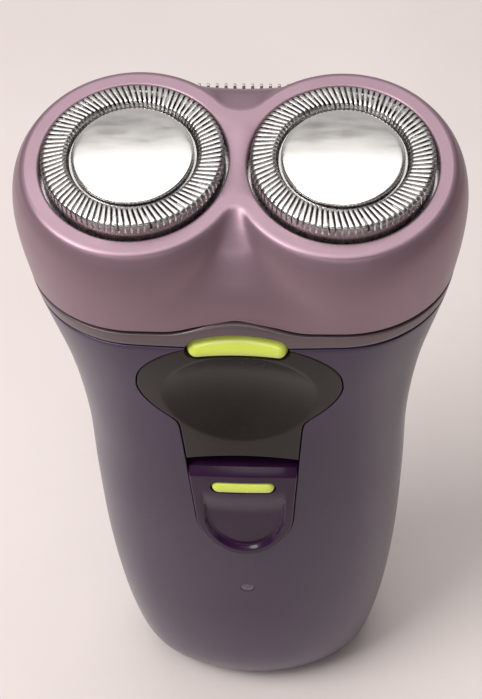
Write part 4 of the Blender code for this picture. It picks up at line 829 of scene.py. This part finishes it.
# A merged copy of a CAD node, with its edges eased.
def refinedNode(name, node, edge=0.0, flat=math.radians(1), corner=math.radians(35)):
    bm = bmesh.new()
    bm.from_mesh(nodes[node].data)
    bmesh.ops.scale(bm, verts=bm.verts, vec=(perMetre, perMetre, perMetre))
    bmesh.ops.remove_doubles(bm, verts=bm.verts, dist=0.001)
    bmesh.ops.dissolve_limit(bm, angle_limit=flat, verts=bm.verts, edges=bm.edges)
    if edge:
        corners = [e for e in bm.edges if e.is_manifold and e.calc_face_angle() > corner]
        bmesh.ops.bevel(bm, geom=corners, offset=edge, offset_type="OFFSET", affect="EDGES",
                        segments=2, profile=0.5, material=-1, clamp_overlap=True)
    return linkPiece(name, bm)


# The collar's inside and spigot come from the CAD, cut back to where the band begins.
collarPlug = refinedNode("collarPlug", "collar")
coreSteps = ((0, -collar["coreReach"]), (0, 0), (1, 0), (1, collar["coreReach"]))
core = [collarRing(share, collar["band"], shift) for share, shift in coreSteps]
carve(collarPlug, newPiece("tool", loftRings(core)), "INTERSECT")
carve(collarPlug, buttonTool())
settle(collarPlug, "handle", ["collar"], collarPaint)
print("collar made")


# Head casing

head = {"height": 116.0, "forward": 1.5, "tilt": math.radians(8), "reach": 13.6}
casing = {
    "lean": math.radians(3.7), "edge": 0.2, "wall": 1.8, "top": 1.6, "bottom": 18.7,
    "archFrom": 7, "archBend": 1.6, "cavityPoints": 20, "cavityOpen": 4,
    "hole": 12.4, "holeEdge": 0.3, "holeFlare": 0.9, "holeMouth": 0.45,
    "holeDepth": 2.4, "holeTop": 6, "holeLap": 0.02, "holeSteps": 120,
    "drops": (18.0, 17.2, 16.4, 15.6, 14.8, 14, 13, 12, 11, 10, 9, 8, 7, 6.2, 5.5, 5, 4.5, 4.1, 3.7,
              3.4, 3.1, 2.85, 2.6, 2.4, 2.2, 2.05, 1.93, 1.82, 1.73, 1.66, 1.62, 1.6),
    "topInsets": (0.1, 0.3, 0.7, 1.4),
    "cavityDrops": (16, 14, 12, 10, 8, 6, 5, 4, 3.2, 2.5),
    "rows": (  # drop below the guards, share of the tilt, lobe radius, front, rear
        (1.6, 1.0, 14.20, 6.70, 8.2),
        (1.66, 1.0, 14.48, 6.98, 8.6),
        (1.82, 1.0, 14.76, 7.32, 9.1),
        (2.05, 1.0, 14.98, 7.76, 9.8),
        (2.4, 1.0, 15.22, 8.40, 10.8),
        (3.4, 1.0, 15.80, 10.0, 13.0),
        (5.0, 0.9, 16.3, 11.8, 15.0),
        (7.6, 0.8, 16.66, 13.6, 15.8),
        (10.6, 0.6, 16.69, 15.0, 16.0),
        (14.2, 0.3, 16.46, 15.8, 16.1),
        (18.7, 0.0, 15.9, 16.0, 16.2),
    ),
}
headTurn = Matrix.Rotation(head["tilt"], 4, "X")
headFrames = {
    side: Matrix.Translation((x, -head["forward"], head["height"])) @ headTurn
    for side, x in (("left", -head["reach"]), ("right", head["reach"]))
}


def casingRing(drop, inset=0.0, lift=0.0, count=handle["perQuarter"]):
    share, end, front, rear = rowAt(casing["rows"], drop)
    tilt = (head["tilt"] + casing["lean"]) * share
    back = share * (drop * math.sin(head["tilt"]) - head["forward"])
    middle = Vector((0, back, head["height"] - drop + lift))
    flat = sectionPoints(head["reach"], end - inset, front - inset, rear - inset, count)
    ring = [middle + Vector((x, y * math.cos(tilt), y * math.sin(tilt))) for x, y in flat]
    climb = (drop - casing["archFrom"]) / (casing["bottom"] - casing["archFrom"])
    fade = max(climb, 0) ** casing["archBend"]
    for point in ring:
        point.z += archRise(point.x, point.y) * fade
    return ring


casingRings = [casingRing(casing["bottom"], inset, lift)
               for inset, lift in edgeSteps(casing["edge"])]
casingRings += [casingRing(drop) for drop in casing["drops"]]
casingRings += [casingRing(casing["top"], inset) for inset in casing["topInsets"]]
headCasing = newPiece("headCasing", loftRings(casingRings))
cavityPlaces = [(casing["bottom"], -casing["cavityOpen"])]
cavityPlaces += [(drop, 0) for drop in casing["cavityDrops"]]
cavityRings = [casingRing(drop, casing["wall"], lift, casing["cavityPoints"])
               for drop, lift in cavityPlaces]
casingCavity = newPiece("tool", loftRings(cavityRings))
carve(casingCavity, backingTool())
carve(headCasing, casingCavity)
carve(headCasing, pocketTool())

# The guard holes' rounded mouths lie in the leaning top, so each turned tool is sheared to it.
shear = Matrix.Identity(4)
shear[2][1] = math.tan(casing["lean"])
holeTop = -casing["top"] / math.cos(head["tilt"]) - casing["holeLap"]
holeWide = casing["hole"] + casing["holeEdge"] + casing["holeFlare"]
holeProfile = [(0, casing["holeTop"]), (holeWide, casing["holeTop"])]
holeProfile.append((holeWide, holeTop + casing["holeMouth"]))
for inset, drop in edgeSteps(casing["holeEdge"])[1:]:
    holeProfile.append((casing["hole"] + inset, holeTop - drop))
holeProfile += [(radius, holeTop - casing["holeDepth"]) for radius in (casing["hole"], 0)]
for place in headFrames.values():
    hole = turnProfile(holeProfile, casing["holeSteps"], place @ shear)
    carve(headCasing, newPiece("tool", hole))
settle(headCasing, "shaving_unit", ["head_casing"], mauvePaint, angle=26)
print("casing made")


# Guards and caps

guard = {
    "slots": 90, "slotWidth": 0.28, "slotStart": 8.3, "slotMiddle": 10.4,
    "slant": math.radians(14), "crown": 0.05, "wallStart": 11.9, "sheet": 0.32,
    "rows": (  # radius, height, crown share, slotted up to the next row
        (2.3, -1.00, 0, 0), (8.3, -1.00, 0, 0), (8.46, -0.74, 0, 1), (8.62, -0.42, 1, 1),
        (8.78, -0.16, 1, 1), (8.96, -0.03, 1, 1), (9.15, 0, 1, 1), (9.8, 0, 1, 1),
        (10.6, 0, 1, 1), (11.3, 0, 1, 1), (11.54, -0.03, 1, 1), (11.72, -0.11, 1, 1),
        (11.86, -0.25, 1, 1), (11.96, -0.44, 1, 1), (12.0, -0.68, 1, 1), (12.0, -1.05, 1, 1),
        (12.0, -1.45, 0, 0), (12.0, -3.8, 0, 0), (12.8, -3.8, 0, 0), (12.8, -4.6, 0, 0),
    ),
}


# One pitch of the guard is a grid of three columns with the middle one open, spun right round.
def guardPiece(name, place):
    rows, pitch = guard["rows"], math.tau / guard["slots"]
    bm = bmesh.new()
    bmesh.ops.create_grid(bm, x_segments=3, y_segments=len(rows) - 1, size=1)
    slotFaces = []
    for face in bm.faces:
        middle = face.calc_center_median()
        row = int((middle.y + 1) / 2 * (len(rows) - 1))
        if abs(middle.x) < 0.3 and rows[row][3]:
            slotFaces.append(face)
    for vert in bm.verts:
        column = round((vert.co.x + 1) * 1.5)
        radius, height, crown, slotted = rows[round((vert.co.y + 1) / 2 * (len(rows) - 1))]
        half = guard["slotWidth"] / 2 / radius if radius >= guard["slotStart"] else pitch / 6
        turn = (-pitch / 2, -half, half, pitch / 2)[column]
        out = max(radius, guard["slotStart"])
        turn += math.tan(guard["slant"]) * (out - guard["slotMiddle"]) / out
        fall = guard["crown"] * crown if column in (1, 2) else 0
        if radius > guard["wallStart"]:
            radius -= fall
        else:
            height -= fall
        vert.co = (radius * math.cos(turn), radius * math.sin(turn), height)
    bmesh.ops.delete(bm, geom=slotFaces, context="FACES")
    bmesh.ops.spin(bm, geom=bm.verts[:] + bm.edges[:] + bm.faces[:], axis=(0, 0, 1),
                   angle=math.tau - pitch, steps=guard["slots"] - 1, use_duplicate=True)
    bmesh.ops.remove_doubles(bm, verts=bm.verts, dist=0.002)
    bmesh.ops.recalc_face_normals(bm, faces=bm.faces)
    if max(bm.faces, key=lambda face: face.calc_center_median().z).normal.z < 0:
        bmesh.ops.reverse_faces(bm, faces=bm.faces)
    bmesh.ops.transform(bm, matrix=place, verts=bm.verts)
    piece = linkPiece(name, bm)
    wall = piece.modifiers.new("wall", "SOLIDIFY")
    wall.thickness = guard["sheet"]
    wall.offset = -1
    applyModifiers(piece)
    return piece


cap = {
    "profile": (  # radius, height
        (0, -0.10), (1.5, -0.107), (3.0, -0.128), (4.4, -0.16), (5.6, -0.198), (6.6, -0.237),
        (7.2, -0.262), (7.5, -0.28), (7.7, -0.305), (7.86, -0.35), (7.96, -0.42), (8.0, -0.50),
        (8.0, -0.70), (2.0, -0.70), (2.0, -1.80), (0, -1.80),
    ),
    "steps": 120,
}
for side, place in headFrames.items():
    body = "head_" + side
    slotted = guardPiece("guard" + side.capitalize(), place)
    settle(slotted, body, ["guard_" + side], guardSteel, angle=40)
    polished = newPiece("cap" + side.capitalize(), turnProfile(cap["profile"], cap["steps"], place))
    settle(polished, body, ["guard_cap_" + side], capSteel, angle=50)
print("guards and caps made")


# Trimmer, screws, inlet and the parts under the casing

easedNodes = (  # piece, node, body, edge, slot, finish
    ("trimmerArm", "trimmer_arm", "trimmer", 0.15, "violet_shell", violetShell),
    ("trimmerComb", "trimmer_comb", "trimmer", 0.06, "steel", toothSteel),
    ("trimmerBlade", "trimmer_blade", "trimmer_blade", 0.05, "steel", toothSteel),
    ("inletSocket", "inlet_socket", "handle", 0.15, "black_plastic", blackMoulding),
    ("retainingFrame", "retaining_frame", "shaving_unit", 0.15, "black_plastic", blackMoulding),
    ("lockWheel", "lock_wheel", "lock", 0.12, "black_plastic", blackMoulding),
)
for name, node, body, edge, slotName, finish in easedNodes:
    settle(refinedNode(name, node, edge), body, [node], finish, angle=38)
for number in (1, 2, 3, 4):
    node = f"housing_screw_{number}"
    screw = refinedNode(f"housingScrew{number}", node, edge=0.2)
    settle(screw, "handle", [node], toothSteel, angle=38)

# Each spring, which shortens towards its fixed end as the heads float and the button is pressed, is
# a merged copy of its CAD node with a mesh of its own.
for side, place in headFrames.items():
    node = "spindle_spring_" + side
    coil = refinedNode("spindleSpring" + side.capitalize(), node)
    settle(coil, "gear_" + side, [node], toothSteel, angle=60)
    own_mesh(coil)
coil = refinedNode("releaseSpring", "release_spring")
settle(coil, "handle", ["release_spring"], toothSteel, angle=60)
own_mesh(coil)

lens = {
    "radius": 1.1, "dome": 0.12, "sunk": 0.1, "height": shells["lampHeight"], "back": -9.6,
    "turns": (0.4, 0.8, 1.2, math.pi / 2), "steps": 40,
}
lensEdge = -sideY(0, lens["height"]) - lens["sunk"]
lensProfile = [(0, lensEdge + lens["dome"])]
lensProfile += [(lens["radius"] * math.sin(a), lensEdge + lens["dome"] * math.cos(a))
                for a in lens["turns"]]
lensProfile += [(lens["radius"], -lens["back"]), (0, -lens["back"])]
lensPlace = Matrix.Translation((0, 0, lens["height"])) @ Matrix.Rotation(math.pi / 2, 4, "X")
pilotLight = newPiece("pilotLight", turnProfile(lensProfile, lens["steps"], lensPlace))
settle(pilotLight, "handle", ["pilot_light"], lightLens, angle=40)
print("small pieces made")


# Floor, light and camera

# The floor carries a painted shade in front of the part, outside the main view, so that the front
# of the part mirrors a darker floor.
floorLook = {
    "dark": (0.74, 0.665, 0.645), "light": (0.82, 0.745, 0.725), "paintedShade": (0.40, 0.352, 0.339),
    "shadeStart": -0.03, "shadeEnd": -0.16, "half": 3, "drift": 9,
    "rough": 0.9, "weave": 900, "bump": 0.15, "weaveDepth": 0.0002,
}
floorFinish, floorTree, floorShader, floorPlace = newFinish("floorCloth")
floorTone = addTone(floorTree, floorPlace, floorLook, 5)
floorAxes = floorTree.nodes.new("ShaderNodeSeparateXYZ")
floorTree.links.new(floorPlace, floorAxes.inputs["Vector"])
# Painted shade: the floor's tone is mixed towards a darker tone in front of the part.
shadeStart, shadeEnd = floorLook["shadeStart"], floorLook["shadeEnd"]
paintedShadeFall = addRange(floorTree, floorAxes.outputs["Y"], 0, 1, shadeStart, shadeEnd)
floorTone = addMix(floorTree, paintedShadeFall, floorTone, floorLook["paintedShade"])
floorTree.links.new(floorTone, floorShader.inputs["Base Color"])
floorShader.inputs["Roughness"].default_value = floorLook["rough"]
weave = addNoise(floorTree, floorPlace, floorLook["weave"], 3)
addBump(floorTree, floorShader, weave, floorLook["bump"], floorLook["weaveDepth"])
bm = bmesh.new()
bmesh.ops.create_grid(bm, x_segments=8, y_segments=8, size=floorLook["half"])
floor = newPiece("floor", bm)
floor.data.materials.append(floorFinish)

lamps = {
    "ceiling": {
        "at": (-0.06, 0.04, 0.76), "aim": (-0.06, 0.04, 0.10),
        "size": (0.50, 0.72), "power": 3.1, "tone": (1.0, 0.985, 0.97),
    },
    "rearWall": {
        "at": (0.0, 0.80, 0.60), "aim": (0, 0, 0.10),
        "size": (1.40, 0.70), "power": 1.5, "tone": (1.0, 0.975, 0.975),
    },
    "window": {
        "at": (-0.43, -0.25, 0.74), "aim": (0, 0, 0.05),
        "size": (0.38, 0.38), "power": 4.6, "tone": (1.0, 0.98, 0.96),
    },
    "frontWall": {
        "at": (-0.18, -0.82, 0.46), "aim": (0, 0, 0.10),
        "size": (1.25, 0.14), "power": 1.5, "tone": (1.0, 0.98, 0.97),
    },
}
for name, lamp in lamps.items():
    data = bpy.data.lights.new(name, "AREA")
    data.shape = "RECTANGLE"
    data.size, data.size_y = lamp["size"]
    data.energy = lamp["power"]
    data.color = lamp["tone"]
    light = bpy.data.objects.new(name, data)
    light.location = lamp["at"]
    aim = Vector(lamp["aim"]) - Vector(lamp["at"])
    light.rotation_euler = aim.to_track_quat("-Z", "Y").to_euler()
    collection.objects.link(light)

world = bpy.data.worlds.new("room")
world.use_nodes = True
setShader(world.node_tree.nodes["Background"], {"Color": (0.80, 0.74, 0.73, 1), "Strength": 0.13})
bpy.context.scene.world = world

# The focal length is in pixels, for a picture that is photoHeight pixels tall.
view = {
    "azimuth": 4.50, "elevation": 49.10, "roll": -2.45, "distance": 229.5,
    "target": (-0.72, 0, 75.67), "focal": 1540, "photoHeight": 699, "sensor": 36,
    "clip": (0.01, 20),
}
a, e, r = (math.radians(view[key]) for key in ("azimuth", "elevation", "roll"))
back = Vector((math.sin(a) * math.cos(e), -math.cos(a) * math.cos(e), math.sin(e)))
right = Vector((math.cos(a), math.sin(a), 0))
up = back.cross(right)
across = right * math.cos(r) + up * math.sin(r)
upright = up * math.cos(r) - right * math.sin(r)
cameraData = bpy.data.cameras.new("camera")
cameraData.lens = view["focal"] * view["sensor"] / view["photoHeight"]
cameraData.sensor_width = view["sensor"]
cameraData.clip_start, cameraData.clip_end = view["clip"]
camera = bpy.data.objects.new("camera", cameraData)
spot = (Vector(view["target"]) + back * view["distance"]) * millimetre
turn = Matrix((across, upright, back)).transposed().to_4x4()
camera.matrix_world = Matrix.Translation(spot) @ turn
collection.objects.link(camera)
bpy.context.scene.camera = camera
bpy.context.scene.view_settings.view_transform = "Standard"
print("stage, light and camera set")
